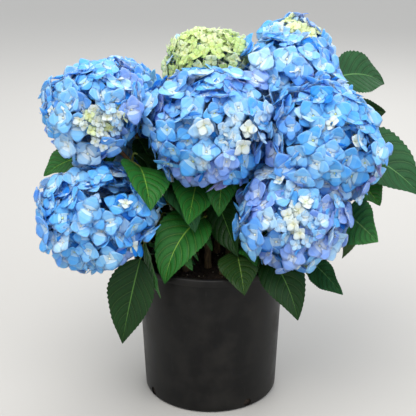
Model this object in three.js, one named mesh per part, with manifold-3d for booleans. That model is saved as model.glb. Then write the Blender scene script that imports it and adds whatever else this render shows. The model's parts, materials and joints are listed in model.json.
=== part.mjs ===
import * as THREE from 'three';
import { mergeVertices } from 'three/addons/utils/BufferGeometryUtils.js';
import Module from 'manifold-3d';

// A mophead hydrangea in its black nursery pot, in millimetres, +Z up. The origin is the middle
// of the pot's flat underside, and -Y is the side that the shrub is looked at from. Woody canes
// rise from the soil, each carries a leafy shoot or two, and each shoot ends under a bloom.

// Pot
const POT_HEIGHT = 225;
const FOOT_RADIUS = 98;
const CORNER_ROUND = 5;
const WALL_TOP_RADIUS = 112;
const LIP_RADIUS = 117;
const LIP_HEIGHT = 11;
const LIP_ROUND = 2.5;
const WALL = 2.6;
const BASE_THICKNESS = 3.2;
const POT_SIDES = 36;
const DRAIN_RADIUS = 6.5;
const DRAIN_LEVEL = 9;
const DRAIN_HEADINGS = [-149, -57, 33, 121];

// Soil
const SOIL_TOP = 200;
const SOIL_CROWN = 4;
const CLEARANCE = 0.3;

// Canes and shoots
const CANE_SIDES = 7;
const CANE_STEPS = 4;
const CANE_FOOT_RADIUS = 5.4;
const CANE_TIP_RADIUS = 4.2;
const CANE_RISE = 0.35;
const CANE_LEAN = 0.3;
const SHOOT_SIDES = 5;
const SHOOT_STEPS = 6;
const SHOOT_FOOT_RADIUS = 3.8;
const SHOOT_TIP_RADIUS = 2.9;
const SHOOT_START = 0.33;
const SHOOT_END = 0.4;

// Blooms
const STALK_LENGTH = 12;
const STALK_ROOT = 0.45;
const DENT_DEPTH = 0.34;
const DENT_FROM = 0.55;
const DENT_TO = 0.95;
const CORE_SIZE = 0.86;
const FLORET_RADIUS = 31;
const FLORET_NOTCH = 0.66;
const FLORET_EYE = 3;
const FLORET_ROOT = 0.7;
const FLORET_COUNT = 20;
const FLORET_COUNT_SIZE = 80;
const BLOOM_GAP = 0.6;
const CUT_FLORET = 0.9;
const STALK_SIDE = 0.8;
const GOLDEN_ANGLE = Math.PI * (3 - Math.sqrt(5));

// Leaves
const LEAF_STATIONS = [0, 0, 0.02, 0.25, 0.5, 0.78, 1];
const LEAF_FULLNESS = 0.52;
const LEAF_HALF_THICKNESS = 1.0;
const PETIOLE_RADIUS = 1.6;
const FOLD = THREE.MathUtils.degToRad(14);
const PAIR_PLACES = [0.12, 0.32, 0.52, 0.74, 0.94];
const PAIR_LENGTHS = [88, 108, 122, 126, 104];
const LEAF_WIDTH = 0.62;
const PETIOLE_LENGTHS = [26, 48];
const LEAF_ROOM = 3;
const RIM_ROOM = 4;
const SOIL_ROOM = 5;
const RULE_FRONT = -92;
const RULE_LOW = 150;
const RULE_HIGH = 480;
const RULE_SIDE = 232;
const SHARED_SEED = 47;
// What a leaf tries, in turn, when its place is taken: sizes, petioles, drops and headings.
const TRIED_SIZES = [1, 0.8, 0.65];
const TRIED_DROPS = [0, -20, -40, -60, 20];
const TRIED_TURNS = [0, 25, -25, 50, -50, 75, -75];

// Canes: the foot in the soil and the tip.
const CANES = {
  left: { foot: [-32, 8], tip: [-52, 12, 278] },
  left_low: { foot: [-38, -22], tip: [-74, -16, 258] },
  middle: { foot: [-4, -10], tip: [-6, 6, 270] },
  right: { foot: [28, 22], tip: [50, 40, 304] },
  right_side: { foot: [42, -8], tip: [72, -4, 258] },
  right_low: { foot: [18, -36], tip: [42, -50, 244] },
  back_left: { foot: [-24, 42], tip: [-40, 66, 256] },
  back_right: { foot: [10, 50], tip: [16, 76, 250] },
};

// Blooms: centre, half width, half height, and the lean of the axis as a heading and a tilt.
const BLOOMS = {
  left_upper: { cane: 'left', at: [-168, -20, 448], radius: 74, rise: 68, heading: 200, tilt: 30 },
  left_inner: { cane: 'left', at: [-134, 66, 460], radius: 54, rise: 52, heading: 150, tilt: 18 },
  left_low: { cane: 'left_low', at: [-161, -70, 306], radius: 90, rise: 72, heading: 205, tilt: 42 },
  left_side: { cane: 'left_low', at: [-150, 84, 312], radius: 70, rise: 62, heading: 152, tilt: 45 },
  middle: { cane: 'middle', at: [1, -30, 422], radius: 92, rise: 82, heading: -92, tilt: 20 },
  green: { cane: 'middle', at: [-5, 92, 494], radius: 67, rise: 52, heading: 95, tilt: 8 },
  right_upper: { cane: 'right', at: [124, 50, 464], radius: 76, rise: 70, heading: 10, tilt: 18 },
  right_top: { cane: 'right', at: [129, 132, 508], radius: 53, rise: 50, heading: 180, tilt: 18 },
  right_middle: { cane: 'right_side', at: [162, -58, 414], radius: 84, rise: 80, heading: -60, tilt: 40 },
  right_side: { cane: 'right_side', at: [150, 92, 318], radius: 68, rise: 60, heading: 25, tilt: 45 },
  right_low: { cane: 'right_low', at: [119, -90, 308], radius: 80, rise: 69, heading: -50, tilt: 40 },
  back_left: { cane: 'back_left', at: [-98, 150, 384], radius: 78, rise: 70, heading: 122, tilt: 32 },
  back_right: { cane: 'back_right', at: [76, 168, 400], radius: 76, rise: 70, heading: 70, tilt: 30 },
  back_low: { cane: 'back_right', at: [-2, 186, 300], radius: 74, rise: 64, heading: 92, tilt: 48 },
};

// Shoots that end in leaves and bear no bloom.
const LEAFY_SHOOTS = {
  right_leafy: { cane: 'right_side', end: [188, 10, 362], heading: 0, tilt: 40 },
};

// Leaves that show at the front and the sides, each placed by eye: the shoot, how far along it,
// the base and the tip of the blade, its bend, width and roll.
const SHOWN_LEAVES = [
  { shoot: 'left_upper', along: 0.8, base: [-103, -40, 371], tip: [-83, -122, 333], bend: 62, width: 76, roll: 22 },
  { shoot: 'middle', along: 0.9, base: [-14, 26, 353], tip: [-32, -111, 308], bend: 20, width: 81, roll: 17 },
  { shoot: 'middle', along: 0.15, base: [-10, -38, 292], tip: [-66, -108, 216], bend: 79, width: 74, roll: 22 },
  { shoot: 'middle', along: 0.4, base: [7, -19, 318], tip: [39, -86, 249], bend: 9, width: 58, roll: -58 },
  { shoot: 'right_low', along: 0.3, base: [45, -36, 247], tip: [65, -113, 246], bend: 43, width: 39, roll: -7 },
  { shoot: 'right_low', along: 0.12, base: [38, -64, 248], tip: [47, -146, 216], bend: 22, width: 61, roll: -11 },
  { shoot: 'right_low', along: 0.7, base: [82, -70, 248], tip: [124, -134, 171], bend: 51, width: 64, roll: -39 },
  { shoot: 'right_low', along: 0.95, base: [147, -48, 229], tip: [189, -116, 203], bend: 12, width: 46, roll: -75 },
  { shoot: 'left_low', along: 0.9, base: [-101, -93, 249], tip: [-129, -115, 124], bend: 7, width: 71, roll: 33 },
  { shoot: 'left_low', along: 0.8, base: [-95, -78, 268], tip: [-71, -128, 203], bend: 16, width: 43, roll: -95 },
  { shoot: 'right_top', along: 0.95, base: [192, 102, 469], tip: [282, 171, 444], bend: 43, width: 73, roll: -55 },
  { shoot: 'right_leafy', along: 0.98, base: [199, 36, 380], tip: [314, -9, 315], bend: 38, width: 98, roll: -37 },
  { shoot: 'right_leafy', along: 0.7, base: [202, -26, 294], tip: [235, -113, 283], bend: 7, width: 73, roll: -63 },
  { shoot: 'right_leafy', along: 0.95, base: [210, 40, 416], tip: [260, 26, 435], bend: 50, width: 60, roll: -100 },
  { shoot: 'right_leafy', along: 0.8, base: [214, 20, 331], tip: [254, -8, 299], bend: 40, width: 60, roll: -20 },
  { shoot: 'right_upper', along: 0.1, base: [40, 20, 330], tip: [104, 30, 342], bend: 40, width: 56, roll: -20 },
  { shoot: 'left_upper', along: 0.95, base: [-185, 5, 372], tip: [-247, -12, 347], bend: 40, width: 56, roll: 25 },
];

// How far joining may move a face, which keeps slivers out of the solids.
const BLOOM_TOLERANCE = 0.45;
const LEAF_TOLERANCE = 0.08;

// Finishes
const FINISHES = {
  pot: { color: 0x242424, roughness: 0.48, metalness: 0 },
  soil: { color: 0x2e231b, roughness: 0.95, metalness: 0 },
  cane: { color: 0x6d5a3c, roughness: 0.85, metalness: 0 },
  leaves: { color: 0x2f6b33, roughness: 0.55, metalness: 0 },
  blue: { color: 0x6ea4e6, roughness: 0.6, metalness: 0 },
  cream: { color: 0xcfdc9c, roughness: 0.6, metalness: 0 },
};

const wasm = await Module();
wasm.setup();

const vector = (list) => new THREE.Vector3(...list);
const radians = THREE.MathUtils.degToRad;

// A seeded source of numbers from 0 to 1.
function seededNumbers(seed) {
  let state = seed >>> 0;
  return () => {
    state = (Math.imul(state, 1664525) + 1013904223) >>> 0;
    return state / 4294967296;
  };
}

// The unit vector at a heading round the plant and a pitch above level.
function pointing(heading, pitch) {
  const level = Math.cos(pitch);
  return new THREE.Vector3(Math.cos(heading) * level, Math.sin(heading) * level, Math.sin(pitch));
}

function smoothstep(from, to, value) {
  return THREE.MathUtils.smoothstep(value, from, to);
}

// Solids and meshes

// The volume inside a list of triangles, which is below zero when they face inwards.
function signedVolume(points, triangles) {
  const corner = (i) => vector([points[3 * i], points[3 * i + 1], points[3 * i + 2]]);
  let sum = 0;
  for (let i = 0; i < triangles.length; i += 3) {
    const a = corner(triangles[i]);
    const b = corner(triangles[i + 1]);
    const c = corner(triangles[i + 2]);
    sum += a.dot(b.cross(c));
  }
  return sum / 6;
}

// A closed geometry as a solid that can be cut and joined, with its faces pointing out.
function solidFrom(geometry) {
  geometry.deleteAttribute('normal');
  geometry.deleteAttribute('uv');
  const merged = mergeVertices(geometry, 1e-4);
  const points = merged.getAttribute('position').array;
  const index = merged.getIndex().array;
  const triangles = [];
  for (let i = 0; i < index.length; i += 3) {
    const [a, b, c] = [index[i], index[i + 1], index[i + 2]];
    if (a !== b && b !== c && c !== a) triangles.push(a, b, c);
  }
  if (signedVolume(points, triangles) < 0) triangles.reverse();
  return new wasm.Manifold(new wasm.Mesh({
    numProp: 3,
    vertProperties: Float32Array.from(points),
    triVerts: Uint32Array.from(triangles),
  }));
}

// Joins solids into one body: a loose scrap is dropped, and a hollow that joining sealed is filled.
function joined(solids, tolerance) {
  const pieces = wasm.Manifold.union(solids).simplify(tolerance).decompose();
  return pieces.reduce((largest, piece) => (piece.volume() > largest.volume() ? piece : largest));
}

function meshFrom(name, solid, finish) {
  const { numProp, vertProperties, triVerts } = solid.getMesh();
  const points = [];
  for (let i = 0; i < vertProperties.length; i += numProp) {
    points.push(vertProperties[i], vertProperties[i + 1], vertProperties[i + 2]);
  }
  const geometry = new THREE.BufferGeometry();
  geometry.setAttribute('position', new THREE.Float32BufferAttribute(points, 3));
  geometry.setIndex(Array.from(triVerts));
  geometry.computeVertexNormals();
  const mesh = new THREE.Mesh(geometry, new THREE.MeshStandardMaterial(finish));
  mesh.name = name;
  return mesh;
}

// Pot and soil

// Points on a quarter circle from one angle to another, in degrees.
function roundedCorner(x, y, radius, from, to, steps = 2) {
  return Array.from({ length: steps + 1 }, (_, i) => {
    const angle = radians(from + ((to - from) * i) / steps);
    return new THREE.Vector2(x + radius * Math.cos(angle), y + radius * Math.sin(angle));
  });
}

function outerWallRadius(z) {
  return THREE.MathUtils.lerp(FOOT_RADIUS + CORNER_ROUND, WALL_TOP_RADIUS, z / POT_HEIGHT);
}

function turned(profile) {
  return solidFrom(new THREE.LatheGeometry(profile, POT_SIDES).rotateX(Math.PI / 2));
}

function potSolid() {
  const lipFoot = POT_HEIGHT - LIP_HEIGHT;
  const inside = (z) => outerWallRadius(z) - WALL;
  const shell = turned([
    new THREE.Vector2(0, 0),
    ...roundedCorner(FOOT_RADIUS, CORNER_ROUND, CORNER_ROUND, -90, 0),
    new THREE.Vector2(outerWallRadius(lipFoot), lipFoot),
    new THREE.Vector2(LIP_RADIUS, lipFoot + LIP_ROUND),
    ...roundedCorner(LIP_RADIUS - LIP_ROUND, POT_HEIGHT - LIP_ROUND, LIP_ROUND, 0, 90),
    new THREE.Vector2(inside(POT_HEIGHT) + LIP_ROUND, POT_HEIGHT),
    new THREE.Vector2(inside(POT_HEIGHT), POT_HEIGHT - LIP_ROUND),
    new THREE.Vector2(inside(BASE_THICKNESS), BASE_THICKNESS),
    new THREE.Vector2(0, BASE_THICKNESS),
  ]);
  const drains = DRAIN_HEADINGS.map((heading) => {
    const drill = new THREE.CylinderGeometry(DRAIN_RADIUS, DRAIN_RADIUS, 4 * WALL, 10);
    drill.rotateZ(Math.PI / 2);
    drill.translate(FOOT_RADIUS + CORNER_ROUND - WALL, 0, DRAIN_LEVEL);
    return solidFrom(drill.rotateZ(radians(heading)));
  });
  return shell.subtract(wasm.Manifold.union(drains));
}

function soilSolid() {
  const foot = BASE_THICKNESS + CLEARANCE;
  const radiusAt = (z) => outerWallRadius(z) - WALL - CLEARANCE;
  return turned([
    new THREE.Vector2(0, foot),
    new THREE.Vector2(radiusAt(foot), foot),
    new THREE.Vector2(radiusAt(SOIL_TOP - SOIL_CROWN), SOIL_TOP - SOIL_CROWN),
    new THREE.Vector2(radiusAt(SOIL_TOP) * 0.7, SOIL_TOP - SOIL_CROWN / 3),
    new THREE.Vector2(0, SOIL_TOP - CLEARANCE),
  ]);
}

// Canes and shoots

function caneCurve({ foot, tip }) {
  const start = new THREE.Vector3(foot[0], foot[1], SOIL_TOP);
  const end = vector(tip);
  const upright = new THREE.Vector3(foot[0], foot[1], SOIL_TOP + CANE_RISE * (end.z - SOIL_TOP));
  const leaning = end.clone().lerp(start, CANE_LEAN);
  return new THREE.CubicBezierCurve3(start, upright, leaning, end);
}

// A limb with a round section that tapers from one end of its curve to the other.
function limb(curve, footRadius, tipRadius, sides, steps) {
  const geometry = new THREE.CylinderGeometry(tipRadius, footRadius, 1, sides, steps);
  const frames = curve.computeFrenetFrames(steps);
  const position = geometry.getAttribute('position');
  for (let i = 0; i < position.count; i += 1) {
    const ring = Math.round((position.getY(i) + 0.5) * steps);
    const place = curve.getPointAt(ring / steps);
    place.addScaledVector(frames.normals[ring], position.getX(i));
    place.addScaledVector(frames.binormals[ring], position.getZ(i));
    position.setXYZ(i, place.x, place.y, place.z);
  }
  return solidFrom(geometry);
}

function axisOf({ heading, tilt }) {
  return pointing(radians(heading), radians(90 - tilt));
}

// Blooms

function ellipsoidRadius(bloom, direction) {
  const across = Math.hypot(direction.x, direction.y) / bloom.radius;
  const up = direction.z / bloom.rise;
  return 1 / Math.hypot(across, up);
}

// Blooms that press on each other meet at a flat wall, which each keeps clear of.
function wallsOf(name) {
  const bloom = BLOOMS[name];
  const walls = [];
  for (const [otherName, other] of Object.entries(BLOOMS)) {
    if (otherName === name) continue;
    const towards = vector(other.at).sub(vector(bloom.at));
    const distance = towards.length();
    towards.normalize();
    const own = ellipsoidRadius(bloom, towards);
    const theirs = ellipsoidRadius(other, towards);
    if (own + theirs <= distance) continue;
    const wall = (distance ** 2 + own ** 2 - theirs ** 2) / (2 * distance);
    walls.push({ towards, wall: wall - BLOOM_GAP });
  }
  return walls;
}

const WALLS = Object.fromEntries(Object.keys(BLOOMS).map((name) => [name, wallsOf(name)]));

// How far a bloom reaches from its centre: an ellipsoid, dented round its stalk, up to its walls.
function bloomReach(name, direction) {
  const bloom = BLOOMS[name];
  const stalkSide = -direction.dot(axisOf(bloom));
  let reach = ellipsoidRadius(bloom, direction) * (1 - DENT_DEPTH * smoothstep(DENT_FROM, DENT_TO, stalkSide));
  for (const { towards, wall } of WALLS[name]) {
    const facing = direction.dot(towards);
    if (facing > 1e-6) reach = Math.min(reach, wall / facing);
  }
  return reach;
}

function bloomFoot(name) {
  const axis = axisOf(BLOOMS[name]);
  const depth = bloomReach(name, axis.clone().negate()) + STALK_LENGTH;
  return vector(BLOOMS[name].at).addScaledVector(axis, -depth);
}

function coreSolid(name) {
  const centre = vector(BLOOMS[name].at);
  const geometry = new THREE.IcosahedronGeometry(1, 1);
  const position = geometry.getAttribute('position');
  for (let i = 0; i < position.count; i += 1) {
    const direction = new THREE.Vector3().fromBufferAttribute(position, i).normalize();
    const place = centre.clone().addScaledVector(direction, CORE_SIZE * bloomReach(name, direction));
    position.setXYZ(i, place.x, place.y, place.z);
  }
  return solidFrom(geometry);
}

// One floret: four petals round an eye, on a funnel whose root is sunk in the core.
function floretSolid(name, direction, twist) {
  const centre = vector(BLOOMS[name].at);
  const reach = bloomReach(name, direction);
  const aside = new THREE.Vector3(-direction.y, direction.x, 0).normalize();
  const upward = direction.clone().cross(aside);
  const geometry = new THREE.SphereGeometry(1, 8, 2);
  const position = geometry.getAttribute('position');
  const uv = geometry.getAttribute('uv');
  for (let i = 0; i < position.count; i += 1) {
    const place = centre.clone();
    const level = position.getY(i);
    if (level > 0.5) {
      place.addScaledVector(direction, reach - FLORET_EYE);
    } else if (level < -0.5) {
      place.addScaledVector(direction, reach * FLORET_ROOT);
    } else {
      const corner = Math.round(uv.getX(i) * 8) % 8;
      const angle = twist + (corner * Math.PI) / 4;
      const radius = corner % 2 ? FLORET_RADIUS * FLORET_NOTCH : FLORET_RADIUS;
      const out = direction.clone().multiplyScalar(reach);
      out.addScaledVector(aside, radius * Math.cos(angle));
      out.addScaledVector(upward, radius * Math.sin(angle));
      const length = out.length();
      out.normalize();
      place.addScaledVector(out, Math.min(length, bloomReach(name, out)));
    }
    position.setXYZ(i, place.x, place.y, place.z);
  }
  return solidFrom(geometry);
}

function bloomSolid(name, seed) {
  const bloom = BLOOMS[name];
  const axis = axisOf(bloom);
  const random = seededNumbers(seed);
  const foot = bloomFoot(name).addScaledVector(axis, CLEARANCE);
  const root = vector(bloom.at).addScaledVector(axis, -STALK_ROOT * bloom.rise);
  const solids = [
    coreSolid(name),
    limb(new THREE.LineCurve3(foot, root), SHOOT_TIP_RADIUS, SHOOT_TIP_RADIUS, SHOOT_SIDES, 1),
  ];
  const count = Math.round((FLORET_COUNT * bloom.radius * bloom.rise) / FLORET_COUNT_SIZE ** 2);
  const spin = 2 * Math.PI * random();
  for (let i = 0; i < count; i += 1) {
    const height = 1 - (2 * (i + 0.5)) / count;
    const direction = pointing(spin + i * GOLDEN_ANGLE, Math.asin(height));
    const twist = Math.PI * random();
    const cut = bloomReach(name, direction) < CUT_FLORET * ellipsoidRadius(bloom, direction);
    if (cut || -direction.dot(axis) > STALK_SIDE) continue;
    solids.push(floretSolid(name, direction, twist));
  }
  return joined(solids, BLOOM_TOLERANCE);
}

// Leaves

// Half the width of a blade of width 1 at a place from its base, 0, to its tip, 1.
function halfWidth(s) {
  if (s <= 0 || s >= 1) return 0;
  return LEAF_FULLNESS * Math.sin(Math.PI * s ** 0.72) ** 0.85 * (1 - 0.28 * s ** 3);
}

// The midrib is an arc in an upright plane, from the base to the tip.
function bladeFrame({ base, tip, bend, roll }, s) {
  const chord = tip.clone().sub(base);
  const heading = Math.atan2(chord.y, chord.x);
  const bow = radians(bend);
  const length = (chord.length() * (bow / 2)) / Math.sin(bow / 2);
  const first = Math.asin(chord.z / chord.length()) + bow / 2;
  const pitch = first - bow * s;
  const along = (length * (Math.sin(first) - Math.sin(pitch))) / bow;
  const up = (length * (Math.cos(pitch) - Math.cos(first))) / bow;
  const place = base.clone().addScaledVector(pointing(heading, 0), along);
  place.z += up;
  const forward = pointing(heading, pitch);
  const level = new THREE.Vector3(Math.sin(heading), -Math.cos(heading), 0);
  const above = level.clone().cross(forward);
  const turn = radians(roll);
  const side = level.clone().multiplyScalar(Math.cos(turn)).addScaledVector(above, Math.sin(turn));
  const face = above.clone().multiplyScalar(Math.cos(turn)).addScaledVector(level, -Math.sin(turn));
  return { place, forward, side, face };
}

// A leaf with its petiole: a four-sided form drawn out from the stem along the midrib, whose
// sections are square on the petiole and flat and folded on the blade.
function leafSolid(leaf) {
  const start = bladeFrame(leaf, 0);
  const distance = leaf.base.distanceTo(leaf.root);
  const handle = leaf.base.clone().addScaledVector(start.forward, -0.45 * distance);
  const petiole = new THREE.QuadraticBezierCurve3(leaf.root, handle, leaf.base);
  const steps = LEAF_STATIONS.length - 1;
  const sections = LEAF_STATIONS.map((s, i) => {
    if (i > 1) {
      const half = Math.max(leaf.width * halfWidth(s), PETIOLE_RADIUS);
      return { ...bladeFrame(leaf, s), half, fold: i > 2 ? Math.tan(FOLD) : 0, thick: LEAF_HALF_THICKNESS };
    }
    const place = petiole.getPoint(0.5 * i);
    const forward = petiole.getTangent(0.5 * i);
    const side = start.side.clone().addScaledVector(forward, -start.side.dot(forward)).normalize();
    const face = side.clone().cross(forward);
    return { place, side, face, half: PETIOLE_RADIUS, fold: 0, thick: PETIOLE_RADIUS };
  });
  const geometry = new THREE.SphereGeometry(1, 4, steps);
  const position = geometry.getAttribute('position');
  const uv = geometry.getAttribute('uv');
  for (let i = 0; i < position.count; i += 1) {
    const station = Math.round((1 - uv.getY(i)) * steps);
    const { place, side, face, half, fold, thick } = sections[station];
    const point = place.clone();
    if (station > 0 && station < steps) {
      const corner = Math.round(uv.getX(i) * 4) % 4;
      const across = [1, 0, -1, 0][corner];
      const through = [0, 1, 0, -1][corner];
      point.addScaledVector(side, across * half);
      point.addScaledVector(face, Math.abs(across) * half * fold + through * thick);
    }
    position.setXYZ(i, point.x, point.y, point.z);
  }
  return solidFrom(geometry);
}

// Whether a point of a leaf keeps to its own space.
function hasRoom(point) {
  for (const [name, bloom] of Object.entries(BLOOMS)) {
    const offset = point.clone().sub(vector(bloom.at));
    const distance = offset.length();
    if (distance < bloomReach(name, offset.normalize()) + LEAF_ROOM) return false;
  }
  const fromAxis = Math.hypot(point.x, point.y);
  if (point.z < SOIL_TOP + SOIL_ROOM && fromAxis < LIP_RADIUS + RIM_ROOM) return false;
  const insideRim = fromAxis < WALL_TOP_RADIUS - WALL - RIM_ROOM;
  return point.z > POT_HEIGHT + RIM_ROOM || insideRim || fromAxis > LIP_RADIUS + RIM_ROOM;
}

function leafPoints(leaf) {
  const points = [];
  for (let i = 1; i <= 12; i += 1) {
    const s = i / 12;
    const { place, side, face } = bladeFrame(leaf, s);
    const half = leaf.width * halfWidth(s);
    for (const across of [-1, -0.5, 0, 0.5, 1]) {
      const point = place.clone().addScaledVector(side, across * half);
      points.push(point.addScaledVector(face, Math.abs(across) * half * Math.tan(FOLD)));
    }
  }
  return points;
}

// Leaves by rule stay out of the front, where the shown leaves hang, and inside the crown.
function insideCrown(point) {
  const behindFront = point.y > RULE_FRONT || point.z > RULE_HIGH;
  return behindFront && point.z > RULE_LOW && point.z < RULE_HIGH && Math.abs(point.x) < RULE_SIDE;
}

function boxesTouch(a, b) {
  const first = a.boundingBox();
  const second = b.boundingBox();
  return [0, 1, 2].every((k) => first.min[k] < second.max[k] && second.min[k] < first.max[k]);
}

function touches(a, b) {
  return boxesTouch(a, b) && !a.intersect(b).isEmpty();
}

// Shoots

function shootCurve(name) {
  const shoot = BLOOMS[name] ?? LEAFY_SHOOTS[name];
  const cane = caneCurve(CANES[shoot.cane]);
  const away = cane.getTangent(1);
  const start = cane.getPoint(1).addScaledVector(away, CLEARANCE);
  const end = BLOOMS[name] ? bloomFoot(name) : vector(shoot.end);
  const span = start.distanceTo(end);
  const first = start.clone().addScaledVector(away, SHOOT_START * span);
  const second = end.clone().addScaledVector(axisOf(shoot), -SHOOT_END * span);
  return new THREE.CubicBezierCurve3(start, first, second, end);
}

const SHOOTS = [...Object.keys(BLOOMS), ...Object.keys(LEAFY_SHOOTS)].map((name) => {
  const curve = shootCurve(name);
  const stem = limb(curve, SHOOT_FOOT_RADIUS, SHOOT_TIP_RADIUS, SHOOT_SIDES, SHOOT_STEPS);
  return { name, cane: (BLOOMS[name] ?? LEAFY_SHOOTS[name]).cane, curve, stem, leaves: [] };
});

const caneSolids = Object.fromEntries(Object.entries(CANES).map(([name, cane]) => (
  [name, limb(caneCurve(cane), CANE_FOOT_RADIUS, CANE_TIP_RADIUS, CANE_SIDES, CANE_STEPS)]
)));

const bloomSolids = Object.fromEntries(Object.keys(BLOOMS).map((name, index) => (
  [name, bloomSolid(name, SHARED_SEED + index)]
)));

// Whether a leaf meets a bloom, a cane, a stem from another cane or a leaf that hangs already.
function meetsAnother(solid, shoot) {
  const stems = SHOOTS.filter((other) => other.cane !== shoot.cane).map((other) => other.stem);
  const leaves = SHOOTS.flatMap((other) => other.leaves);
  const others = [...Object.values(bloomSolids), ...Object.values(caneSolids), ...stems, ...leaves];
  return others.some((other) => touches(solid, other));
}

function addShownLeaves() {
  for (const row of SHOWN_LEAVES) {
    const shoot = SHOOTS.find(({ name }) => name === row.shoot);
    const leaf = { ...row, base: vector(row.base), tip: vector(row.tip), root: shoot.curve.getPoint(row.along) };
    shoot.leaves.push(leafSolid(leaf));
  }
}

const LEAF_TRIES = TRIED_SIZES.flatMap((size) => PETIOLE_LENGTHS.flatMap((petiole) => (
  TRIED_DROPS.flatMap((drop) => TRIED_TURNS.map((aside) => [size, petiole, drop, aside]))
)));

// Opposite pairs, each a quarter turn on from the last, that fill what the shown leaves leave free.
function addRuleLeaves(shoot, seed) {
  const random = seededNumbers(seed);
  const turn = Math.PI * random();
  PAIR_PLACES.forEach((along, pair) => {
    const root = shoot.curve.getPoint(along);
    const forward = shoot.curve.getTangent(along);
    const side = new THREE.Vector3(forward.y, -forward.x, 0.001).normalize();
    const above = side.clone().cross(forward);
    for (const half of [0, 1]) {
      const angle = turn + (pair * Math.PI) / 2 + half * Math.PI;
      const arm = side.clone().multiplyScalar(Math.cos(angle)).addScaledVector(above, Math.sin(angle));
      const length = PAIR_LENGTHS[pair] * (0.9 + 0.2 * random());
      const pitch = -8 - 16 * random();
      const bend = 48 + 26 * random();
      const roll = -12 + 24 * random();
      const out = arm.clone().addScaledVector(forward, 0.5).normalize();
      const heading = Math.atan2(out.y, out.x);
      for (const [size, petiole, drop, aside] of LEAF_TRIES) {
        const base = root.clone().addScaledVector(out, petiole);
        const chord = pointing(heading + radians(aside), radians(pitch + drop));
        const tip = base.clone().addScaledVector(chord, length * size);
        const leaf = { root, base, tip, bend, width: LEAF_WIDTH * length * size, roll };
        if (!leafPoints(leaf).every((point) => insideCrown(point) && hasRoom(point))) continue;
        const solid = leafSolid(leaf);
        if (meetsAnother(solid, shoot)) continue;
        shoot.leaves.push(solid);
        break;
      }
    }
  });
}

addShownLeaves();
SHOOTS.forEach((shoot, index) => addRuleLeaves(shoot, SHARED_SEED + index));

// The whole shrub

const group = new THREE.Group();
group.add(meshFrom('pot', potSolid(), FINISHES.pot));
group.add(meshFrom('soil', soilSolid(), FINISHES.soil));
for (const cane of Object.keys(CANES)) {
  const shoots = SHOOTS.filter((shoot) => shoot.cane === cane);
  const leafy = joined(shoots.flatMap(({ stem, leaves }) => [stem, ...leaves]), LEAF_TOLERANCE);
  group.add(meshFrom(`cane_${cane}`, caneSolids[cane], FINISHES.cane));
  group.add(meshFrom(`leaves_${cane}`, leafy, FINISHES.leaves));
}
for (const [name, solid] of Object.entries(bloomSolids)) {
  group.add(meshFrom(`bloom_${name}`, solid, name === 'green' ? FINISHES.cream : FINISHES.blue));
}

export default group;
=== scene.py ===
"""The looks of a mophead hydrangea in its black nursery pot, grown round the CAD frame.

The plant is grown again by the rule of its CAD solids, and carried further: canes with bark, shoots
and petioles, veined leaves, and blooms of four petalled florets on thin stalks. Lengths are in
millimetres until a mesh is made. +Z is up, and -Y is the side the shrub is looked at from."""

import json
import math
from itertools import product

import bpy
import numpy as np
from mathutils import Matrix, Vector, noise
from mathutils.bvhtree import BVHTree

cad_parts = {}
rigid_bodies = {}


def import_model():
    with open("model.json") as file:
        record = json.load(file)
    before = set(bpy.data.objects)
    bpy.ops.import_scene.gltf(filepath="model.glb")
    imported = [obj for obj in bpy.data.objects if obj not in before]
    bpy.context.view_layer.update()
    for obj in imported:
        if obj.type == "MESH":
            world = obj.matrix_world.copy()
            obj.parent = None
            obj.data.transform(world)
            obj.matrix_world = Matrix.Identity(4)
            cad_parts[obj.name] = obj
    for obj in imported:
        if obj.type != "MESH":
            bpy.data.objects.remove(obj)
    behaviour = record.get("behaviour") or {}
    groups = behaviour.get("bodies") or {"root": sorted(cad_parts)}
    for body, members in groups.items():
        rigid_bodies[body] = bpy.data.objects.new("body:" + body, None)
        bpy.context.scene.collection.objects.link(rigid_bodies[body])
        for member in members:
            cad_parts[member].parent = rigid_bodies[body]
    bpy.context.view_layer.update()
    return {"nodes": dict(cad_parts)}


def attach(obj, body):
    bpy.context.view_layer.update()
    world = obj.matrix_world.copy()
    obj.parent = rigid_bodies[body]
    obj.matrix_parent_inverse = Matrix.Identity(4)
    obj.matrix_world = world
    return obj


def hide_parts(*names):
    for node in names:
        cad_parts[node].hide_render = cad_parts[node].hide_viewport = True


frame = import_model()

MM = 0.001
TINY = 1e-6
UP = np.array([0, 0, 1.0])
# Small shifts that keep a cross product from vanishing
OFF_UPRIGHT = (0.01, 0.02, 0)
OFF_LEVEL = 0.001
SHARED_SEED = 47
# Trees pick a shape by a number up to this one, which wraps round the number of shapes.
ANY_SHAPE = 99
# Points with which the length of a curve is measured
FINE_STEPS = 201

# Camera, as solved from the pot's lip and foot in the photograph
PICTURE_WIDTH = 416
FOCAL_PIXELS = 978
SENSOR_WIDTH = 36
CAMERA_PLACE = (-0.004, -1.386, 0.8)
CAMERA_PITCH = 20.1

# Stage, and each light's place and aim, its size, power and colour
FLOOR_SIZE = 60
SKY_STRENGTH = 1.15
LIGHTS = {
    "key": ((-0.5, -1.0, 2.7), (0, 0, 0.35), 2.4, 54, "#fffaf2"),
    "fill": ((1.6, -1.6, 1.6), (0, 0, 0.35), 2.2, 14, "#f2f6ff"),
    "back": ((0.4, 1.9, 1.9), (0, 0, 0.4), 1.5, 30, "#ffffff"),
}

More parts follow.
